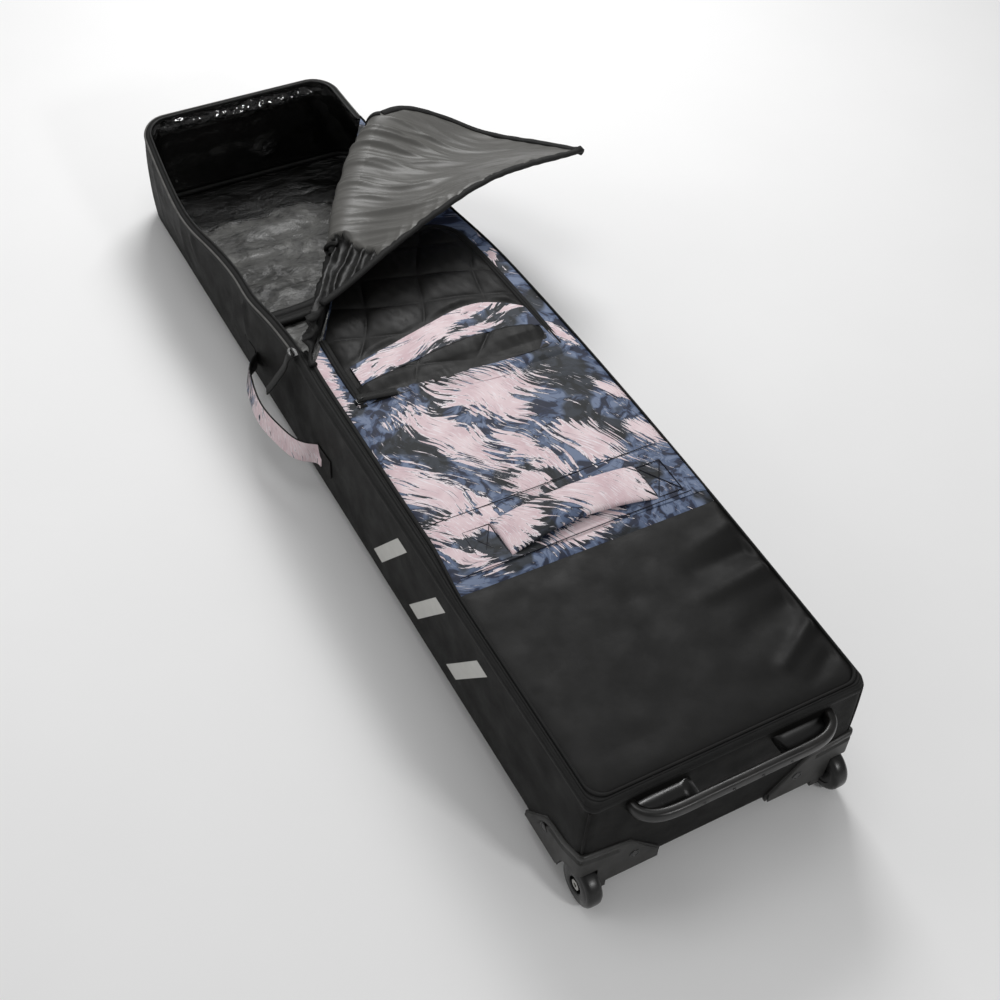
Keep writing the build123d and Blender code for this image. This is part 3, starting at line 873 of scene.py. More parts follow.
def make_floor_lining():
    """The crumpled floor of the compartment."""
    u = np.linspace(0, 1, 110)[None, :]
    y = np.linspace(0.052, LENGTH - 0.008, 380)[:, None]
    edge = 0.203 - 0.045 * ease(y, LENGTH - 0.06, LENGTH - 0.005) ** 2
    x = mix(-edge, edge, u)
    margin = np.clip(np.minimum(np.minimum(x + edge, edge - x), LENGTH - 0.01 - y) / 0.03, 0, 1)
    sway = 0.022 * ripples(x, y, 0.07, 24)
    crest = np.clip(1 - np.abs(ripples(x + sway, 1.2 * y - sway, 0.15, 25)), 0, 1) ** 4
    crest = crest * np.clip(0.3 + 0.9 * ripples(x, y, 0.10, 27), 0, 1) * (1 - ease(y, 1.40, 1.46))
    rumple = creases(x, y, 0.19, 21) * 0.0050 + 0.0038 * crest + creases(x, y, 0.050, 23) * 0.0022
    floor = soft_cloth("floor_lining_cloth", x, y, FLOOR_Z + margin * rumple, FLOOR, 0.0008)
    places = bag_places(floor)
    # Painted reflection up to this wavy border: the floor is painted grey nearer the wheels and left black
    # beyond it, where the far wall's shade falls.
    border = 1.466 - 0.5 * np.maximum(0, places[:, 0] - 0.035)
    border = border + 0.012 * ripples(places[:, 0], places[:, 1], 0.06, 31)
    grey = 1 - ease(places[:, 1], border - 0.012, border + 0.012)
    put(floor, "grey", grey)
    put(floor, "crumple", 0.16 + 0.10 * ripples(places[:, 0], places[:, 1], 0.15, 33))
    settle(floor, "root", "gloss_lining", "floor_lining")


def make_floor_piping():
    """Piping along the foot of the far walls."""
    outline, split = plan(0.0095, 0.01, 0.042)
    path = outline[split:]
    path = at_height(path[path[:, 1] > 1.19], FLOOR_Z + 0.004)
    piping = tube("floor_piping_tube", soften(path), 0.0042, [WEBBING])
    settle(piping, "root", "gloss_lining", "floor_piping")


def make_floor_strap():
    """A doubled strap across the floor under the fold."""
    x = np.linspace(-0.199, 0.199, 90)
    path = np.stack([x, 1.172 + 0.10 * (x + 0.2) + 0.004 * np.sin(18 * x),
                     FLOOR_Z + 0.009 + 0.002 * np.sin(25 * x)], axis=1)
    band = [(-0.019, 0), (-0.019, 0.004), (-0.012, 0.007), (-0.002, 0.006), (0.0, 0.003), (0.002, 0.006),
            (0.012, 0.008), (0.019, 0.004), (0.019, 0)]
    strap = sweep("floor_strap_webbing", path, path_sides(path, UP), UP, band, [WEBBING])
    settle(strap, "root", "webbing", "floor_strap")


# The top edge

RIM_WIDTH = 0.0138

# Sections of the two edges: distance in from the wall, and height
LID_EDGE = [(0.0, 0.1815), (-0.0010, 0.1840), (-0.0014, 0.1862), (-0.0004, 0.1884), (0.0010, 0.1890),
            (0.0016, 0.1912), (0.0030, 0.1932), (0.0056, 0.1940), (0.0074, 0.1940), (0.0080, 0.1932),
            (0.0088, 0.1946), (0.0102, 0.1951), (0.0116, 0.1946), (0.0124, 0.1932), (0.0132, 0.1941),
            (0.0150, 0.1942), (0.0156, 0.1936), (0.0162, 0.1956), (0.0178, 0.1968), (0.0194, 0.1964),
            (0.0206, 0.1950), (0.0210, 0.1930)]
RIM_EDGE = [(0.0, 0.1800), (-0.0008, 0.1842), (-0.0004, 0.1872), (0.0014, 0.1888), (0.0040, 0.1904),
            (0.0080, 0.1918), (0.0094, 0.1916), (0.0102, 0.1932), (0.0116, 0.1940), (0.0130, 0.1934),
            (0.0138, 0.1920), (0.0130, 0.1906), (0.0100, 0.1898), (0.0068, 0.1878), (0.0054, 0.1840),
            (0.0050, 0.1800)]


def seam_inset(y):
    """Width of the lid's edge band on its left: narrow beside the plain panel, wider beside the print."""
    return mix(0.0115, 0.0205, ease(y, 0.34, 0.47))


def lid_across(x, y):
    """Moves x, on a lid with PANEL_NEAR of band each side, to where the lid's side seams run."""
    side = HALF - PANEL_NEAR
    return mix(-HALF + seam_inset(y), HALF - RIGHT_SEAM, (x + side) / (2 * side))


def edge_rows(profile, outer, inner, width):
    """The profile's (distance in, height) points carried round an edge, between its outer and inner lines."""
    return soften(np.array([at_height(mix(outer, inner, distance / width), z) for distance, z in profile]))


def lid_edge_rows(profile):
    """The profile carried round the closed lid."""
    outer, split = plan(0.0, NEAR_R, FAR_R)
    inner, _ = plan(PANEL_NEAR, PANEL_R, FAR_R)
    inner[:, 0] = lid_across(inner[:, 0], inner[:, 1])
    return edge_rows(profile, outer[:split + 1], inner[:split + 1], profile[-1][0])


def rim_edge_rows(profile):
    """The profile carried round the open rim."""
    outer, split = plan(0.0, NEAR_R, FAR_R)
    inner, _ = plan(RIM_WIDTH, NEAR_R, FAR_R - 0.012)
    outer = np.concatenate([outer[split:], outer[:1]])
    inner = np.concatenate([inner[split:], inner[:1]])
    return edge_rows(profile, outer, inner, RIM_WIDTH)


def make_lid_edge():
    """The zipped edge band of the closed lid."""
    points = lid_edge_rows(LID_EDGE)
    band = surface("lid_edge_band", points, TAPE, length_uv(points), thickness=0.0012, flip=True)
    settle(band, "root", "zip_tape", "lid_zip_tape")


def make_rim_edge():
    """The open rim: its zip tape, with piping outside, pale grey as a painted highlight, and the zip's coil
    inside.
    """
    points = rim_edge_rows(RIM_EDGE)
    band = surface("rim_edge_band", points, TAPE, length_uv(points), flip=True)
    settle(band, "root", "zip_tape", "rim_zip_tape")
    # The piping's pale colour is a painted highlight.
    for name, d, z, radius, material in (("rim_piping", 0.0006, 0.1896, 0.0017, PIPING_PAINTED_HIGHLIGHT),
                                         ("rim_coil", 0.0122, 0.1942, 0.0016, COIL)):
        piece = tube(name, rim_edge_rows([(d, z)])[0], radius, [material], 8)
        settle(piece, "root", "zip_tape")


# The lid

def seam_dip(distance):
    """Cloth rises a little away from its seams."""
    return 0.0038 * (1 - np.exp(-np.maximum(distance, 0) / 0.011))


def across_lid(u, y):
    """x at u, from -1 to 1 between the lid's side seams, and the distance to the nearer seam."""
    from_edge = np.clip(PANEL_R - (y - PANEL_NEAR), 0, PANEL_R)
    side = HALF - PANEL_NEAR - PANEL_R + np.sqrt(np.maximum(PANEL_R ** 2 - from_edge ** 2, 0))
    x = lid_across(side * u, y)
    return x, np.minimum(x - lid_across(-side, y), 2.2 * (lid_across(side, y) - x))


def lid_height(x, y):
    """The lid's own gentle undulation."""
    return 0.0029 * ripples(x, y, 0.22, 71) + 0.0007 * ripples(x, y, 0.06, 72)


# Soft folds of the plain panel: both ends of each crest or valley, its half width and its height
LID_FOLDS = [
    (0.205, 0.312, 0.135, 0.298, 0.013, 0.0045), (0.200, 0.264, 0.112, 0.260, 0.017, -0.0095),
    (0.205, 0.222, 0.100, 0.214, 0.015, 0.0085), (0.205, 0.162, 0.130, 0.140, 0.022, -0.0080),
    (0.205, 0.117, 0.128, 0.072, 0.012, 0.0090), (0.195, 0.060, 0.150, 0.034, 0.013, -0.0045),
    (0.005, 0.250, 0.000, 0.090, 0.024, -0.0040), (-0.125, 0.320, -0.118, 0.305, 0.015, -0.0018),
    (-0.186, 0.175, -0.180, 0.150, 0.010, -0.0022),
]


def lid_folds(x, y):
    """Height that the folds add at a place on the plain panel."""
    total = np.zeros(np.broadcast(x, y).shape)
    for x0, y0, x1, y1, width, height in LID_FOLDS:
        along_x, along_y = x1 - x0, y1 - y0
        t = ((x - x0) * along_x + (y - y0) * along_y) / (along_x ** 2 + along_y ** 2)
        t = np.clip(t, 0, 1)
        away = np.hypot(x - x0 - t * along_x, y - y0 - t * along_y)
        total = total + height * (1 - 0.6 * t) * np.exp(-(away / width) ** 2)
    return total


def make_black_panel():
    """Plain near part of the lid."""
    v = np.linspace(0, 1, 130)[:, None] ** 1.3
    y = mix(PANEL_NEAR, PRINT_START, v)
    u = np.linspace(-1, 1, 150)[None, :]
    x, from_side = across_lid(u, y)
    distance = np.minimum(np.minimum(from_side, y - PANEL_NEAR), PRINT_START - y)
    z = LID_Z + seam_dip(distance) + lid_height(x, y) * np.clip(distance / 0.05, 0, 1)
    z = z + lid_folds(x, y) * ease(distance, 0.0, 0.03)
    panel = soft_cloth("lid_black_cloth", x, y, z, LID_BLACK, 0.002)
    settle(panel, "root", "black_fabric", "lid_black_panel")


def under_pocket(x, y):
    """1 where the pocket covers the lid, 0 beside it."""
    across = np.minimum(x - POCKET_LEFT, POCKET_RIGHT - x)
    along = np.minimum(y - POCKET_NEAR, POCKET_FAR - y)
    return ease(np.minimum(across, along), 0.004, 0.016)


def make_print_panel():
    """Printed part of the lid, up to where the cloth turns up into the roll."""
    u = np.linspace(-1, 1, 150)[None, :]
    v = np.linspace(0, 1, 300)[:, None]
    far_x, _ = across_lid(u, LENGTH)
    y = mix(PRINT_START, fold_y(far_x, ROLL_R), v)
    x, from_side = across_lid(u, y)
    distance = np.minimum(from_side, y - PRINT_START)
    to_roll = (fold_y(x, ROLL_R) - y) * FOLD_ALONG[0]
    calm = np.clip(distance / 0.05, 0, 1) * np.clip(to_roll / 0.06, 0, 1)
    z = LID_Z + seam_dip(distance) + lid_height(x, y) * calm - 0.0045 * under_pocket(x, y)
    z = mix(0.1945, z, np.clip(to_roll / 0.03, 0, 1))
    panel = soft_cloth("lid_print_cloth", x, y, z, PRINT, 0.002)
    paint_print(panel)
    settle(panel, "root", "print_fabric", "lid_print_panel")


# The pocket

def pocket_side(y, edge, radius):
    """x of the pocket's right side, with its rounded far corner."""
    from_corner = np.clip(y - (POCKET_FAR + edge - radius), 0, radius)
    return POCKET_RIGHT + edge - radius + np.sqrt(np.maximum(radius ** 2 - from_corner ** 2, 0))


BAND_LOW = spline([-0.150, -0.078, 0.015, 0.104, 0.180], [0.786, 0.800, 0.812, 0.812, 0.790])
BAND_HIGH = spline([-0.150, -0.100, -0.050, 0.031, 0.106, 0.142, 0.180],
                   [0.833, 0.846, 0.858, 0.878, 0.883, 0.866, 0.832])


def make_pocket_door():
    """The quilted pocket door: crossing wavy seams with padding between them."""
    y = np.linspace(POCKET_NEAR - 0.010, POCKET_FAR, 190)[:, None]
    right = pocket_side(y, 0.0, POCKET_R)
    left = np.maximum(POCKET_LEFT, fold_x(y, ROLL_R + 0.004))
    u = np.linspace(0, 1, 180)[None, :]
    x = mix(left, right, u)
    sway = 0.016 * ripples(x, y, 0.20, 83)
    first = np.abs(np.sin(math.pi * ((x * 0.30 + y * 0.95 + sway) / 0.074)))
    second = np.abs(np.sin(math.pi * ((x * 0.86 - y * 0.50 + 1.6 * sway) / 0.088)))
    puff = (first * second) ** 0.45
    under_band = ease(y, BAND_LOW(x) - 0.004, BAND_LOW(x) + 0.006)
    under_band = under_band * (1 - ease(y, BAND_HIGH(x) + 0.002, BAND_HIGH(x) + 0.016))
    distance = np.minimum(np.minimum(x - POCKET_LEFT, right - x), POCKET_FAR - y)
    edge = np.clip(distance / 0.018, 0, 1) ** 0.6
    to_hem = np.clip((y - 0.766) / 0.02, 0, 1)
    pad = 0.0078 * puff * (1 - 0.92 * under_band) + 0.0018 * under_band
    z = 0.1962 + edge * (0.002 + pad * mix(0.3, 1.0, to_hem)) + 0.0008 * ripples(x, y, 0.02, 84) * puff
    door = soft_cloth("pocket_door_quilt", x, y, z, QUILT, 0.002)
    settle(door, "root", "quilted_fabric", "pocket_door")


def make_pocket_band():
    """The printed band that bows across the pocket door."""
    x = np.linspace(-0.147, 0.168, 140)[None, :]
    v = np.linspace(0, 1, 36)[:, None]
    y = mix(BAND_LOW(x), BAND_HIGH(x), v)
    crown = np.sin(math.pi * v) ** 0.5
    z = 0.2012 + 0.0016 * crown + 0.0006 * ripples(x, y, 0.05, 87)
    turned = np.stack([0.9 - 0.53 * x - 0.85 * y, 0.85 * x - 0.53 * y], axis=-1)
    band = soft_cloth("pocket_band_print", x, y, z, PRINT, 0.0012, turned)
    paint_print(band, BAND_PATCHES)
    settle(band, "root", "print_fabric", "pocket_band")


def make_pocket_hem():
    """The edge of the printed panel, folded over the pocket's near side."""
    x = np.linspace(-0.170, 0.187, 120)[None, :]
    v = np.linspace(0, 1, 14)[:, None]
    top = 0.7665 - 0.077 * (x - POCKET_LEFT)
    y = mix(top - 0.030, top, v)
    z = 0.1957 + 0.0046 * ease(v, 0.0, 0.75) - 0.0015 * ease(v, 0.85, 1.0)
    hem = soft_cloth("pocket_hem_print", x, y, z, PRINT, 0.0022)
    paint_print(hem)
    settle(hem, "root", "print_fabric")


def pocket_track(edge):
    """The line of the pocket's zip, this far outside the door: up the right side and round to the fold."""
    radius = POCKET_R + edge
    right = POCKET_RIGHT + edge
    far = POCKET_FAR + edge
    turn = np.radians(np.linspace(0, 90, 24))
    corner = np.stack([right - radius + radius * np.cos(turn), far - radius + radius * np.sin(turn)], axis=1)
    side_y = np.linspace(POCKET_NEAR - 0.012, far - radius - 0.002, 110)
    side = np.stack([np.full(110, right), side_y], axis=1)
    end_x = fold_x(far, ROLL_R)
    far_x = np.linspace(right - radius - 0.002, end_x, 60)
    return np.concatenate([side, corner, np.stack([far_x, np.full(60, far)], axis=1)])


def make_pocket_tape():
    """Zip tape round the pocket door, with its coil along the middle."""
    left_y = np.linspace(POCKET_NEAR - 0.012, fold_y(POCKET_LEFT - 0.004, ROLL_R), 50)
    tracks = {"right": pocket_track(0.0045),
              "left": np.stack([np.full(50, POCKET_LEFT - 0.004), left_y], axis=1)}
    shape = [(-0.0062, 0.0), (-0.0058, 0.0022), (-0.0040, 0.0034), (-0.0018, 0.0030), (-0.0012, 0.0042),
             (0.0, 0.0048), (0.0012, 0.0042), (0.0018, 0.0030), (0.0040, 0.0036), (0.0058, 0.0022),
             (0.0062, 0.0)]
    for name, track in tracks.items():
        path = soften(at_height(track, 0.1955))
        tape = sweep("pocket_tape_" + name, path, path_sides(path, UP), UP, shape, [TAPE])
        settle(tape, "root", "zip_tape")
        if name == "right":
            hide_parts("pocket_zip_tape")


# The flap

FLAP_LONG_Z = spline([0.0, 0.022, 0.050, 0.090, 0.144, 0.218, 0.293, 0.360, 0.392],
                     [0.2370, 0.239, 0.246, 0.263, 0.280, 0.294, 0.279, 0.249, 0.236])
FLAP_SHORT_Z = spline([0.0, 0.022, 0.079, 0.125, 0.210, 0.307, 0.392],
                      [0.242, 0.239, 0.214, 0.190, 0.170, 0.203, 0.236])
FLAP_SHORT_S = spline([0.022, 0.050, 0.079, 0.125, 0.170, 0.210, 0.307, 0.392],
                      [0.597, 0.636, 0.659, 0.680, 0.682, 0.673, 0.615, 0.555])
FLAP_TIP = 0.392
LONG_EDGE = (0.0632, 0.555)
ROLL_WIDTH = 0.5338


def flap_left(n):
    """Where the flap's long edge lies, along the fold."""
    start, end = LONG_EDGE
    return start + (n - ROLL_R) * (end - start) / (FLAP_TIP - ROLL_R)


def flap_point(t, n, wrinkled=True):
    """The flap past the roll: t from its long edge to its short edge, n from the fold."""
    left, right = flap_left(n), FLAP_SHORT_S(n)
    s = mix(left, right, t)
    z = mix(FLAP_LONG_Z(n), FLAP_SHORT_Z(n), ease(t, -0.05, 1.0))
    if wrinkled:
        slack = in_gusset(s, n)
        edge = ease(t * (right - left), 0.004, 0.02)
        z = z + flap_wrinkles(t, n, s, right - left) * (1 - slack) + slack * edge * gusset_folds(s, n) * 0.6
    return fold_place(s, n, z)


def flap_wrinkles(t, n, s, width):
    """Long sharp folds that start at the roll and die out towards the tip, gathered along the long edge."""
    across = mix(s, 0.30 + 0.30 * t, 0.25)
    wander = 0.012 * ripples(n, s * 0.5, 0.16, 5)
    folds = np.zeros(np.broadcast(t, n).shape)
    for pitch, height, reach, seed in ((0.074, 0.0120, 0.26, 1), (0.043, 0.0085, 0.20, 2),
                                       (0.027, 0.0050, 0.15, 3), (0.017, 0.0018, 0.22, 4)):
        drift = 0.5 * ripples(n, s * 0.3, 0.22, 60 + seed)
        ridge = 1 - np.abs(np.sin(math.pi * ((across + wander) / pitch + drift + 0.37 * seed)))
        live = 0.55 + 0.6 * ripples(n * 0.7, s * 1.3, 0.13, 90 + seed)
        fade = np.exp(-((n - ROLL_R) / reach) ** 2)
        folds = folds + height * ridge ** 1.8 * np.clip(live, 0, 1.2) * fade
    edge = t * width
    folds = folds * np.clip(width / 0.25, 0.1, 1) * ease((1 - t) * width, 0.0, 0.07) * ease(edge, -0.03, 0.05)
    pleats = 1 - np.abs(np.sin(math.pi * (n / 0.019 + 0.5 * ripples(n, s, 0.08, 7))))
    gather = np.exp(-edge / 0.040) * pleats
    fine = 0.0007 * ripples(s * 2.4, n * 0.5, 0.03, 8)
    from_roll = ease(n, ROLL_R, ROLL_R + 0.03)
    return folds + from_roll * (0.0032 * gather ** 1.5 * ease(edge, 0.0, 0.012) + fine)


def in_gusset(s, n):
    """1 in the dark crumpled gusset at the roll's left end, 0 in the satin."""
    border = 0.232 - 0.80 * (n - ROLL_R) + 0.007 * ripples(s, n, 0.05, 41)
    return 1 - ease(s, border - 0.006, border + 0.006)


def gusset_folds(s, n):
    """Ribbons of slack cloth that run along the fold, sunk below the satin."""
    sway = 0.010 * ripples(s, n, 0.10, 43) - 0.06 * s
    ribbon = 1 - np.abs(np.sin(math.pi * ((n + sway) / 0.024)))
    return -0.013 + 0.016 * ribbon ** 1.2 + 0.0022 * ripples(s, n, 0.022, 44)


def roll_left(arc):
    """Where the roll's left end lies along the fold, this far round the roll."""
    return -0.0035 + (arc - ROLL_R) * FOLD_SLOPE


def roll_point(t, turn):
    """The roll: turn goes from 0, where the cloth leaves the lid, to pi at its top."""
    arc = ROLL_R * turn
    s = mix(roll_left(arc), 0.585 + 0.012 * turn / math.pi, t)
    bulge = 0.017 * ease(s, 0.16, 0.36) * (1 - ease(s, 0.47, 0.60))
    loose = 1 - in_gusset(s, ROLL_R)
    slack = (1 - loose) * gusset_folds(s, ROLL_R * (turn - math.pi + 1))
    folds = flap_wrinkles(t, ROLL_R, s, ROLL_WIDTH) * loose * ease(turn, 0.7, 2.6)
    reach = ROLL_R + bulge + 0.4 * folds + slack * np.sin(turn) ** 0.5
    n = ROLL_R - reach * np.sin(turn)
    z = DEPTH + ROLL_R * (1 - np.cos(turn)) + (folds + slack * 0.6) * ease(turn, 1.2, math.pi)
    return fold_place(s, n, z)


def flap_normal():
    """Square to the opened flap's own plane, in the row frame."""
    across = np.append(FOLD_ACROSS, 0.0)
    normal = UP * math.cos(FLAP_LIFT) - across * math.sin(FLAP_LIFT)
    return BAG_TURN @ normal


def flap_anchor():
    """A point just over the rim, on the plane of the flap once it is closed."""
    axis_point = fold_place(0.30, 0.0, DEPTH + 0.011)
    return to_row(axis_point) + CLOSED_ABOVE * flap_normal()


def flap_follows(piece):
    """Past the roll, a piece turns with the flap, on a mesh of its own."""
    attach(piece, "flap")
    flap_anchor().tolist()
    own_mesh(piece)


def roll_follows(piece):
    """A piece in the roll, with its placement baked into its mesh."""
    start = to_row(fold_place(0.30, ROLL_R, DEPTH))
    end = to_row(fold_place(0.30, ROLL_R, DEPTH + 2.78 * ROLL_R))
    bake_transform(piece)


def make_flap():
    """The opened part of the lid: grey lining up, print down."""
    n = mix(ROLL_R, FLAP_TIP, np.linspace(0, 1, 150)[:, None] ** 1.05)
    t = np.linspace(0, 1, 230)[None, :]
    points = flap_point(t, n)
    s = mix(flap_left(n), FLAP_SHORT_S(n), t)
    uv = np.stack(np.broadcast_arrays(n, s), axis=-1)
    sheet = surface("flap_lining_sheet", points, SATIN, uv, thickness=0.003, under=PRINT, flip=True)
    darken_gusset(sheet)
    paint_print(sheet, shift=(0.0, 0.3), on_lid=False)
    flap_follows(sheet)
    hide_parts("lid_flap")


def make_roll_mouth():
    """Curled edges of cloth one inside another at the open left end of the roll."""
    turn = np.linspace(0.55, 2.95, 46)
    curls = ((0.226, 0.0235, 0.0042), (0.212, 0.0165, 0.0034), (0.202, 0.0095, 0.0030))
    for i, (s, reach, radius) in enumerate(curls):
        along = s + 0.016 * np.cos(turn) + 0.003 * np.sin(3 * turn + i)
        n = ROLL_R - reach * np.sin(turn) * 1.15
        z = DEPTH + ROLL_R - reach * np.cos(turn)
        curl = tube("roll_mouth_%d" % (i + 1), fold_place(along, n, z), radius, [GUSSET], 8, FOLD_AXIS)
        roll_follows(curl)


def darken_gusset(piece):
    """Gives the faces in the gusset its black nylon in place of satin."""
    piece.data.materials.append(GUSSET)
    inverse = BAG.inverted()
    for face in piece.data.polygons:
        place = inverse @ face.center
        x, y = place.x - FOLD_START[0], place.y - FOLD_START[1]
        s = x * FOLD_ALONG[0] + y * FOLD_ALONG[1]
        n = max(ROLL_R, x * FOLD_ACROSS[0] + y * FOLD_ACROSS[1])
        if in_gusset(s, n) > 0.5:
            face.material_index = 2


def make_roll():
    """The lid's cloth where it rolls over."""
    turn = np.linspace(0, math.pi, 40)[:, None]
    t = np.linspace(0, 1, 260)[None, :]
    points = roll_point(t, turn)
    arc = ROLL_R * turn
    uv = np.stack(np.broadcast_arrays(ROLL_R - arc, mix(roll_left(arc), 0.6, t)), axis=-1)
    roll = surface("flap_roll_sheet", points, SATIN, uv, thickness=0.003, under=PRINT, flip=True)
    darken_gusset(roll)
    paint_print(roll, shift=(0.0, 0.3), on_lid=False)
    roll_follows(roll)


BINDING = [(0.0100, 0.0006), (0.0085, 0.0022), (0.0040, 0.0028), (0.0005, 0.0026), (-0.0022, 0.0006),
           (-0.0024, -0.0028), (0.0002, -0.0050), (0.0045, -0.0054), (0.0085, -0.0046), (0.0100, -0.0034)]


def binding(name, edge, inside):
    """Zip tape wrapped over an edge of the flap."""
    along = headings(edge)
    inward = square_to(unit(inside - edge), along)
    upward = unit(np.cross(inward, along))
    upward = upward * np.sign(upward[:, 2:])
    return sweep(name, edge, inward, upward, BINDING, [TAPE])


def make_flap_binding():
    """Zip tape round the flap's long and short edges, and over both ends of the roll."""
    n = mix(ROLL_R, FLAP_TIP - 0.001, np.linspace(0, 1, 120))
    for name, t, inside_t in (("long", 0.0, 0.12), ("short", 1.0, 0.88)):
        edge = flap_point(np.full_like(n, t), n)
        inside = flap_point(np.full_like(n, inside_t), n, wrinkled=False)
        tape = binding("flap_" + name + "_tape", edge, inside)
        flap_follows(tape)
        if name == "long":
            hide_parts("flap_zip_tape")
        turn = np.linspace(0.02, math.pi, 40)
        edge = roll_point(np.full_like(turn, t), turn)
        inside = roll_point(np.full_like(turn, inside_t), turn)
        tape = roll_binding("roll_" + name + "_tape", edge, inside, turn)
        roll_follows(tape)


def roll_binding(name, edge, inside, turn):
    """Zip tape over one end of the roll, facing out of it."""
    along = headings(edge)
    inward = square_to(unit(inside - edge), along)
    out = -np.append(FOLD_ACROSS, 0.0)[None] * np.sin(turn)[:, None] - UP[None] * np.cos(turn)[:, None]
    return sweep(name, edge, inward, square_to(out, along), BINDING, [TAPE])


# Handles

SIDE_HANDLE_Z = 0.069


def make_side_handle():
    """Webbing loop on the left wall, printed outside and black inside."""
    plan_points = [(-0.2150, 1.062), (-0.2160, 1.054), (-0.2360, 1.033), (-0.2570, 0.985), (-0.2650, 0.925),
                   (-0.2560, 0.862), (-0.2330, 0.815), (-0.2160, 0.800), (-0.2150, 0.793)]
    path = at_height(route(plan_points, 90), SIDE_HANDLE_Z)
    out = path_sides(path, -UP)
    half = 0.019
    band = [(-0.0015, -half), (0.0012, -half), (0.0015, -half + 0.001), (0.0018, 0.0), (0.0015, half - 0.001),
            (0.0012, half), (-0.0015, half), (-0.0018, 0.0)]
    lean = unit(np.array([0.18, 0.0, 1.0]))
    loop = sweep("side_handle_webbing", path, out, lean, band, [PRINT, WEBBING],
                 skins=[0, 0, 0, 0, 0, 1, 1, 1])
    paint_print(loop, LOOP_PATCHES, on_lid=False)
    settle(loop, "carry_loop", "print_fabric", "side_handle")
    for name, low, high in (("near", 0.762, 0.806), ("far", 1.054, 1.098)):
        y = np.linspace(low, high, 10)
        line = np.stack([np.full(10, -HALF), y], axis=1)
        tab_path = soften(at_height(line, SIDE_HANDLE_Z)) - [0.0014, 0, 0]
        flat_band = [(-0.001, -half), (0.001, -half), (0.001, half), (-0.001, half)]
        tab = sweep("side_handle_tab_" + name, tab_path, (-1, 0, 0), UP, flat_band, [BLACK], smooth=False)
        settle(tab, "root", "webbing")
        if name == "near":
            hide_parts("side_handle_tabs")


def stitch(name, line, z):
    """A line of thread lying on cloth at height z."""
    settle(tube(name, soften(at_height(line, z)), 0.0007, [THREAD], 6), "root", "webbing")


def stitched_box(name, x0, x1, y0, y1):
    """A sewn box with a cross in it, in one line of thread."""
    corners = np.array([(x0, y0), (x1, y0), (x1, y1), (x0, y1), (x0, y0), (x1, y1), (x1, y0 + 0.001),
                        (x0, y1)])
    t = np.linspace(0, 1, 14, endpoint=False)[:, None]
    stitch(name, np.concatenate([mix(a, b, t) for a, b in zip(corners, corners[1:])]), 0.1990)


def make_grab_band():
    """Printed band across the lid that carries the grip, with its stitching."""
    u = np.linspace(-1, 1, 150)[None, :]
    v = np.linspace(0, 1, 34)[:, None]
    bow = 0.004 * np.cos(math.pi * u / 2)
    y = mix(0.381 + bow, 0.494 + 0.3 * bow, v)
    x, distance = across_lid(0.996 * u, y)
    z = 0.1946 + seam_dip(distance) + lid_height(x, y) * np.clip(distance / 0.05, 0, 1)
    z = z - 0.0012 * (1 - ease(np.minimum(v, 1 - v), 0.0, 0.06))
    shifted = np.stack([x + 0.004, y + 0.006], axis=-1)
    band = soft_cloth("grab_band_print", x, y, z, PRINT, 0.0014, shifted)
    paint_print(band)
    settle(band, "root", "print_fabric", "grab_band")
    stitched_box("grab_stitch_left", -0.148, -0.106, 0.388, 0.455)
    stitched_box("grab_stitch_right", 0.136, 0.176, 0.396, 0.460)
    line_x = np.linspace(-0.186, 0.186, 80)
    for name, line_y in (("far", 0.490), ("near", 0.386)):
        stitch("grab_stitch_" + name, np.stack([line_x, line_y + 0.002 * np.sin(9 * line_x)], axis=1), 0.1986)


def make_grip():
    """Padded grip: a crowned tube of print, bowed and lifted a little off the lid."""
    u = np.linspace(0, 1, 120)
    x = mix(-0.104, 0.134, u)
    near = 0.390 + 0.012 * np.sin(math.pi * u) + 0.004 * u
    far = 0.457 + 0.004 * np.sin(math.pi * u) + 0.008 * u
    lift = 0.1985 + 0.0095 * np.sin(math.pi * u) ** 0.7
    thick = 0.0032 + 0.0046 * np.sin(math.pi * u) ** 0.35
    middle, half = (near + far) / 2, (far - near) / 2
    c, s = (wave[:, None] for wave in circle(40))
    y = middle + half * squarer(c, 0.75)
    z = lift + thick * squarer(s, 0.8)
    z = z + 0.0009 * ripples(x[None] + 0 * y, y, 0.03, 95) * np.sin(math.pi * u)
    points = soften(np.stack([np.broadcast_to(x, y.shape), y, z], axis=-1)).transpose(1, 0, 2)
    rows, columns = points.shape[:2]
    faces = list(quads(rows, columns, wrap=True)) + end_caps(rows, columns)
    cloth = np.stack([np.broadcast_to(x, y.shape), y + 0.30], axis=-1).transpose(1, 0, 2)
    grip = new_piece("grab_grip_padded", points.reshape(-1, 3), faces, [PRINT], cloth.reshape(-1, 2))
    paint_print(grip, GRIP_PATCHES, on_lid=False)
    settle(grip, "grip", "print_fabric", "grab_grip")


END_ROUTE = [(-0.1520, 0.002), (-0.1500, -0.012), (-0.1360, -0.027), (-0.1080, -0.034), (-0.070, -0.0345),
             (0.0, -0.0345), (0.070, -0.0345), (0.1080, -0.034), (0.1360, -0.027), (0.1500, -0.012),
             (0.1520, 0.002)]


def make_end_handle():
    """Moulded handle on the near wall: a rounded rim, dished lobes and a hand gap behind the bar."""
    path = at_height(route(END_ROUTE, 120), 0.1660)
    c, s = circle(22)
    bar = np.stack([0.0072 * squarer(c, 0.7), 0.0095 * squarer(s, 0.7)], axis=1)
    rim = sweep("end_handle_rim", path, path_sides(path, UP), UP, bar, [HANDLE_WORN])
    settle(rim, "root", "moulded_plastic", "end_handle")
    for name, direction in (("left", -1), ("right", 1)):
        make_handle_lobe(name, direction)
    for i in range(6):
        x = -0.112 + 0.0448 * i
        y = -0.0415 + 0.0022 * (abs(x) / 0.112) ** 4
        make_dimple("handle_dimple_%d" % (i + 1), x, y, 0.1655)


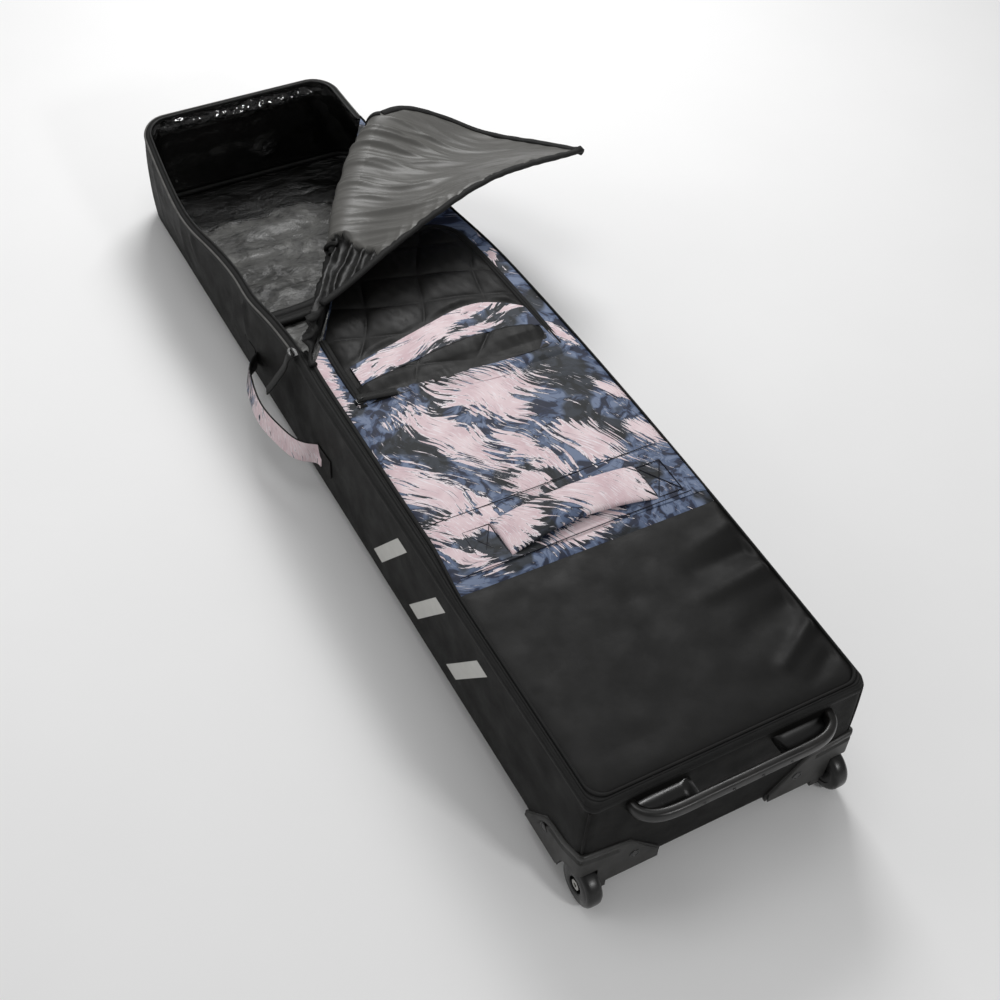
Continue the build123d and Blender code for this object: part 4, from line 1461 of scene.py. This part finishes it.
def make_dimple(name, x, y, z):
    """A small round hollow in the handle's rim, facing the near end."""
    profile = [(0.0, 0.0012), (0.0016, 0.0012), (0.0016, -0.0004), (0.0026, -0.0006), (0.0032, 0.0008)]
    c, s = circle(16)
    rows = [np.broadcast_arrays(x + r * c, y + d - 0.0002, z + r * s) for r, d in profile]
    points = np.array(rows).transpose(0, 2, 1).reshape(-1, 3)
    dimple = new_piece(name, points, quads(len(profile), 16, wrap=True), [HANDLE], points[:, :2])
    merge_points(dimple)
    settle(dimple, "root", "moulded_plastic")


def make_handle_lobe(name, direction):
    """The dished floor of one end of the handle, and the wall of the hand gap."""
    gap_end = 0.064
    line = route(END_ROUTE, 120)
    line = line[line[:, 0] * direction > gap_end]
    if direction > 0:
        line = line[::-1]
    t = np.linspace(0, 1, 24)[:, None]
    inner_x = np.clip(line[:, 0] * 0.985 * direction, gap_end, 0.150) * direction
    inner = np.stack([inner_x, np.full(len(line), 0.001)], axis=1)
    at = mix(line[None], inner[None], t[..., None])
    bowl = np.sin(math.pi * t) ** 0.5
    inside = ease(np.abs(at[..., 0]), gap_end, 0.078)
    z = 0.1700 - 0.0115 * bowl * inside - 0.004 * (1 - inside)
    points = np.concatenate([at, z[..., None]], axis=-1)
    dish = surface("end_handle_dish_" + name, points, HANDLE, at, thickness=0.004, flip=direction > 0)
    settle(dish, "root", "moulded_plastic")


# Guards, wheels and zips

GUARD_TOP = spline([-0.131, -0.106, -0.083, -0.079, -0.058, -0.037, -0.024, -0.010, 0.0, 0.012, 0.040, 0.066,
                    0.076, 0.100, 0.125],
                   [0.003, 0.032, 0.058, 0.061, 0.0665, 0.0705, 0.0765, 0.084, 0.0865, 0.0855, 0.080, 0.0748,
                    0.0695, 0.0410, 0.014])


def guard_bottom(w):
    """Lower edge of the guard: an arch over the wheel on the side, straight round the corner."""
    arch = np.sqrt(np.maximum(0.0390 ** 2 - (-w - WHEEL_Y) ** 2, 0))
    side = np.where(-w < 0.048, np.maximum(arch, -0.0025), -0.0025)
    end = mix(0.0385, -0.0025, ease(w, 0.0275, 0.0300))
    return np.where(w < 0, side, end)


def make_guard(side, direction):
    """Outer face of a corner guard: a folded plate with a channel below its top edge."""
    w = np.concatenate([np.linspace(-0.131, -0.046, 60), np.linspace(-0.0455, -0.006, 40),
                        np.linspace(-0.0055, 0.0055, 12), np.linspace(0.006, 0.0270, 22),
                        np.linspace(0.0274, 0.0302, 8), np.linspace(0.031, 0.125, 60)])
    bottom = guard_bottom(w)
    top = np.maximum(GUARD_TOP(w), bottom + 0.002)
    steps = (0, 0.0010, 0.004, 0.0088, 0.0102, 0.0165, 0.0180, 0.0205)
    rows = [np.maximum(top - step, bottom) for step in steps]
    rows += [mix(rows[-1], bottom, share) for share in np.linspace(0.12, 1, 10)]
    z = np.array(rows)
    proud = 0.0030
    depth = np.full(z.shape, proud)
    depth[0] = 0.0
    depth[1] = 0.0026
    channel = ease(w, -0.100, -0.094) * (1 - ease(w, 0.054, 0.060))
    depth[4:6] = proud - 0.0028 * channel
    radius = 0.0055
    angle = np.clip(w / radius, -1, 1) * math.pi / 4
    corner = np.abs(w) < radius
    out = HALF + proud
    centre_x, centre_y = -out + radius, -proud + radius
    x_flat = np.where(w < 0, -out, -out + radius + (w - radius))
    y_flat = np.where(w < 0, -proud + radius + (-w - radius), -proud)
    heading = math.pi + math.pi / 4 + angle
    x_round, y_round = centre_x + radius * np.cos(heading), centre_y + radius * np.sin(heading)
    x = np.where(corner, x_round, x_flat)
    y = np.where(corner, y_round, y_flat)
    nx = np.where(corner, np.cos(heading), np.where(w < 0, -1.0, 0.0))
    ny = np.where(corner, np.sin(heading), np.where(w < 0, 0.0, -1.0))
    points = np.stack([x[None] + nx[None] * depth, y[None] + ny[None] * depth, z], axis=-1)
    points[..., 0] *= -direction
    uv = np.stack(np.broadcast_arrays(w[None], z), axis=-1)
    piece = surface(side + "_guard_face", points, GUARD, uv, thickness=0.0014, flip=direction < 0)
    settle(piece, "root", "moulded_plastic")


def make_corner_seam(side, direction):
    """The vertical seam of the near corner, from the guard up to the lid's edge."""
    z = np.linspace(0.080, 0.181, 30)
    path = np.stack([np.full(30, direction * (HALF - 0.0038)), np.full(30, 0.0038), z], axis=1)
    seam = tube(side + "_corner_seam", soften(path), 0.0019, [BLACK], 8, normal=(0, 1, 0))
    settle(seam, "root", "black_fabric")


def make_screws(side, direction):
    """The guard's two screws: a round head in a raised ring."""
    c, s = circle(28)
    for name, middle, across, out in (("end", (direction * 0.131, -0.0060, 0.036), (1, 0, 0), (0, -1, 0)),
                                      ("wall", (direction * (HALF + 0.0060), 0.081, 0.036), (0, 1, 0),
                                       (direction, 0, 0))):
        spokes = np.outer(c, across) + np.outer(s, UP)
        loop = tube(side + "_screw_ring_" + name, np.array(middle) + 0.0066 * spokes, 0.0012, [HANDLE], 6,
                    normal=out, closed=True)
        head = polygon_prism(side + "_screw_head_" + name, np.array(middle) + 0.0050 * spokes, out, 0.0007,
                             [HANDLE], 0.0003)
        for piece in (loop, head):
            settle(piece, "root", "moulded_plastic")


def make_wheel(side, direction):
    """A wheel: a rounded tyre with a raised shoulder and a recessed hub."""
    outer = direction * HALF
    inner = direction * WHEEL_IN
    tread = [(0.0020, 0.0135), (0.0002, 0.0145), (0.0, 0.0155), (0.0002, 0.0265), (0.0010, 0.0275),
             (0.0008, 0.0290), (0.0020, 0.0322), (0.0045, 0.0342), (0.0075, 0.0349), (0.0125, 0.0350),
             (0.0175, 0.0349), (0.0210, 0.0340), (0.0240, 0.0315)]
    tyre = [(outer - direction * depth, radius) for depth, radius in tread]
    tyre += [(inner, 0.0280), (inner, 0.0225)]
    if direction > 0:
        tyre = tyre[::-1]
    wheel = lathe_x(side + "_tyre_round", tyre, WHEEL_Y, 0.0, [RUBBER], 96)
    settle(wheel, side + "_wheel", "tyre_rubber", side + "_tyre")


def make_slider(name, x, y, z, body, node, turn=0.0, size=1.0):
    """A zip slider: a shield-shaped body with a bridge for the pull."""
    outline = [(-0.005, -0.009), (0.005, -0.009), (0.0062, -0.002), (0.0062, 0.005), (0.003, 0.0095),
               (-0.003, 0.0095), (-0.0062, 0.005), (-0.0062, -0.002)]
    c, s = math.cos(turn), math.sin(turn)
    base = [(x + size * (a * c - b * s), y + size * (a * s + b * c), z) for a, b in outline]
    plate = polygon_prism(name + "_body", base, UP, 0.0032 * size, [ENAMEL], 0.0008)
    settle(plate, body, "slider_metal", node)
    t = np.linspace(0, math.pi, 14)
    arch = np.stack([x + size * 0.006 * np.cos(t) * -s, y + size * 0.006 * np.cos(t) * c,
                     z + 0.0030 * size + 0.0034 * size * np.sin(t)], axis=1)
    bridge = tube(name + "_bridge", arch, 0.0013 * size, [ENAMEL], 8, normal=(c, s, 0))
    settle(bridge, body, "slider_metal")


def webbing_pull(name, points, across, width, node):
    """A doubled webbing tab whose first stretch runs over the slider's bridge; its placement is baked into
    its mesh and the CAD node it stands for is hidden.
    """
    path = route(points, 40)
    along = headings(path)
    side = unit(across - along * (along @ across)[:, None])
    up = unit(np.cross(along, side))
    half = width / 2
    band = [(-half, -0.0014), (half, -0.0014), (half + 0.0004, 0.0), (half, 0.0014), (-half, 0.0014),
            (-half - 0.0004, 0.0)]
    pull = sweep(name, path, side, up, band, [WEBBING])
    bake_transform(pull)
    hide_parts(node)


def make_zips():
    """The two sliders and their webbing pulls."""
    make_slider("main_slider", -0.2115, 0.905, 0.1945, "zip_slider", "main_slider", size=1.15)
    main = [(-0.2125, 0.902, 0.1995), (-0.2185, 0.904, 0.1925), (-0.2225, 0.909, 0.173),
            (-0.2310, 0.917, 0.148), (-0.2400, 0.926, 0.124), (-0.2480, 0.933, 0.106)]
    webbing_pull("main_pull_webbing", main, np.array([0.25, 1.0, 0.0]), 0.015,
                 "main_pull")
    make_slider("pocket_slider", -0.1625, 0.758, 0.2000, "pocket_zip_slider", "pocket_slider", turn=-1.4)
    pocket = [(-0.1680, 0.7615, 0.2036), (-0.1620, 0.7607, 0.2044), (-0.1540, 0.7596, 0.2044),
              (-0.1350, 0.7570, 0.2038), (-0.1180, 0.7545, 0.2032), (-0.1060, 0.7525, 0.2030)]
    webbing_pull("pocket_pull_webbing", pocket, np.array([0.1, 1.0, 0.0]), 0.014,
                 "pocket_pull")


def make_side_mark():
    """Three slanted bars printed on the left wall."""
    u = np.linspace(0, 1, 20)[None, :]
    v = np.linspace(0, 1, 30)[:, None]
    for i in range(3):
        y = 0.610 - 0.120 * i - 0.085 * v - 0.030 * u
        flat = np.stack(np.broadcast_arrays(-HALF, y, mix(0.040, 0.150, v)), axis=-1)
        wall = soften(flat) - [0.0004, 0, 0]
        bar = surface("side_mark_%d" % (i + 1), wall, MARK, flat[..., 1:], thickness=0.0002)
        settle(bar, "root", "black_fabric")


def finish_cad_nodes():
    """CAD pieces that keep their shape get their materials."""
    finishes = {"base_board": STIFFENER, "floor_pad": FOAM, "guard_screws": HANDLE,
                "handle_backing_plate": STIFFENER, "handle_bolts": STEEL}
    for side in ("left", "right"):
        finishes[side + "_wheel_hub"] = HUB
        finishes[side + "_axle_bolt"] = STEEL
        finishes[side + "_wheel_guard"] = GUARD
        finishes[side + "_skid"] = GUARD
    for node, material in finishes.items():
        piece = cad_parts[node]
        for place in piece.material_slots:
            place.material = material


# Camera, lights and floor

CAMERA_AT = (-0.84885, -0.76620, 1.81938)
CAMERA_YAW = -0.554450
CAMERA_PITCH = 0.830820
CAMERA_ROLL = 0.076313
CAMERA_LENS = 55.38


def make_camera():
    """A camera above the near left corner, looking along the bag."""
    turn = Matrix.Rotation(CAMERA_YAW, 4, "Z") @ Matrix.Rotation(math.pi / 2 - CAMERA_PITCH, 4, "X")
    turn = turn @ Matrix.Rotation(CAMERA_ROLL, 4, "Z")
    data = bpy.data.cameras.new("camera")
    data.lens = CAMERA_LENS
    data.sensor_width = 36
    data.clip_start = 0.05
    data.clip_end = 60
    camera = bpy.data.objects.new("camera", data)
    camera.matrix_world = BAG @ Matrix.Translation(CAMERA_AT) @ turn
    bpy.context.collection.objects.link(camera)
    bpy.context.scene.camera = camera


def area_light(name, place, size, power):
    """A soft square light aimed at the bag's middle."""
    data = bpy.data.lights.new(name, "AREA")
    data.size = size
    data.energy = power
    light = bpy.data.objects.new(name, data)
    light.location = BAG @ Vector(place)
    aim = BAG @ Vector((0.0, LENGTH / 2, 0.1)) - light.location
    light.rotation_mode = "QUATERNION"
    light.rotation_quaternion = aim.to_track_quat("-Z", "Y")
    bpy.context.collection.objects.link(light)


def make_lights():
    """Soft studio light from above and behind, with a weak fill."""
    area_light("key_light", (0.9, 2.6, 2.2), 1.1, 52)
    area_light("left_light", (-2.2, 1.4, 1.4), 1.2, 9)
    area_light("front_light", (0.7, -2.2, 1.9), 0.40, 22)
    area_light("top_light", (-0.3, 0.9, 3.2), 1.4, 14)
    world = bpy.data.worlds.new("studio")
    world.use_nodes = True
    background = world.node_tree.nodes["Background"]
    background.inputs["Color"].default_value = (1, 1, 1, 1)
    background.inputs["Strength"].default_value = 0.30
    bpy.context.scene.world = world
    bpy.context.scene.view_settings.view_transform = "Standard"


def make_floor():
    """A plain pale floor."""
    mesh = bpy.data.meshes.new("studio_floor")
    reach = 12.0
    mesh.from_pydata([(-reach, -reach, 0), (reach, -reach, 0), (reach, reach, 0), (-reach, reach, 0)], [],
                     [(0, 1, 2, 3)])
    floor = bpy.data.objects.new("studio_floor", mesh)
    bpy.context.collection.objects.link(floor)
    paper = Finish("pale_paper", (0.86, 0.86, 0.86), 0.9, "Object")
    paper.mottle(3, 0.99, 1.01)
    mesh.materials.append(paper.material)


def main():
    make_camera()
    make_lights()
    make_floor()
    make_shell()
    make_wall_lining()
    make_floor_lining()
    make_floor_piping()
    make_floor_strap()
    make_lid_edge()
    make_rim_edge()
    make_black_panel()
    make_print_panel()
    make_pocket_door()
    make_pocket_band()
    make_pocket_hem()
    make_pocket_tape()
    make_flap()
    make_roll()
    make_roll_mouth()
    make_flap_binding()
    make_side_handle()
    make_grab_band()
    make_grip()
    make_end_handle()
    for side, direction in (("left", -1), ("right", 1)):
        make_guard(side, direction)
        make_corner_seam(side, direction)
        make_screws(side, direction)
        make_wheel(side, direction)
    make_zips()
    make_side_mark()
    finish_cad_nodes()


main()
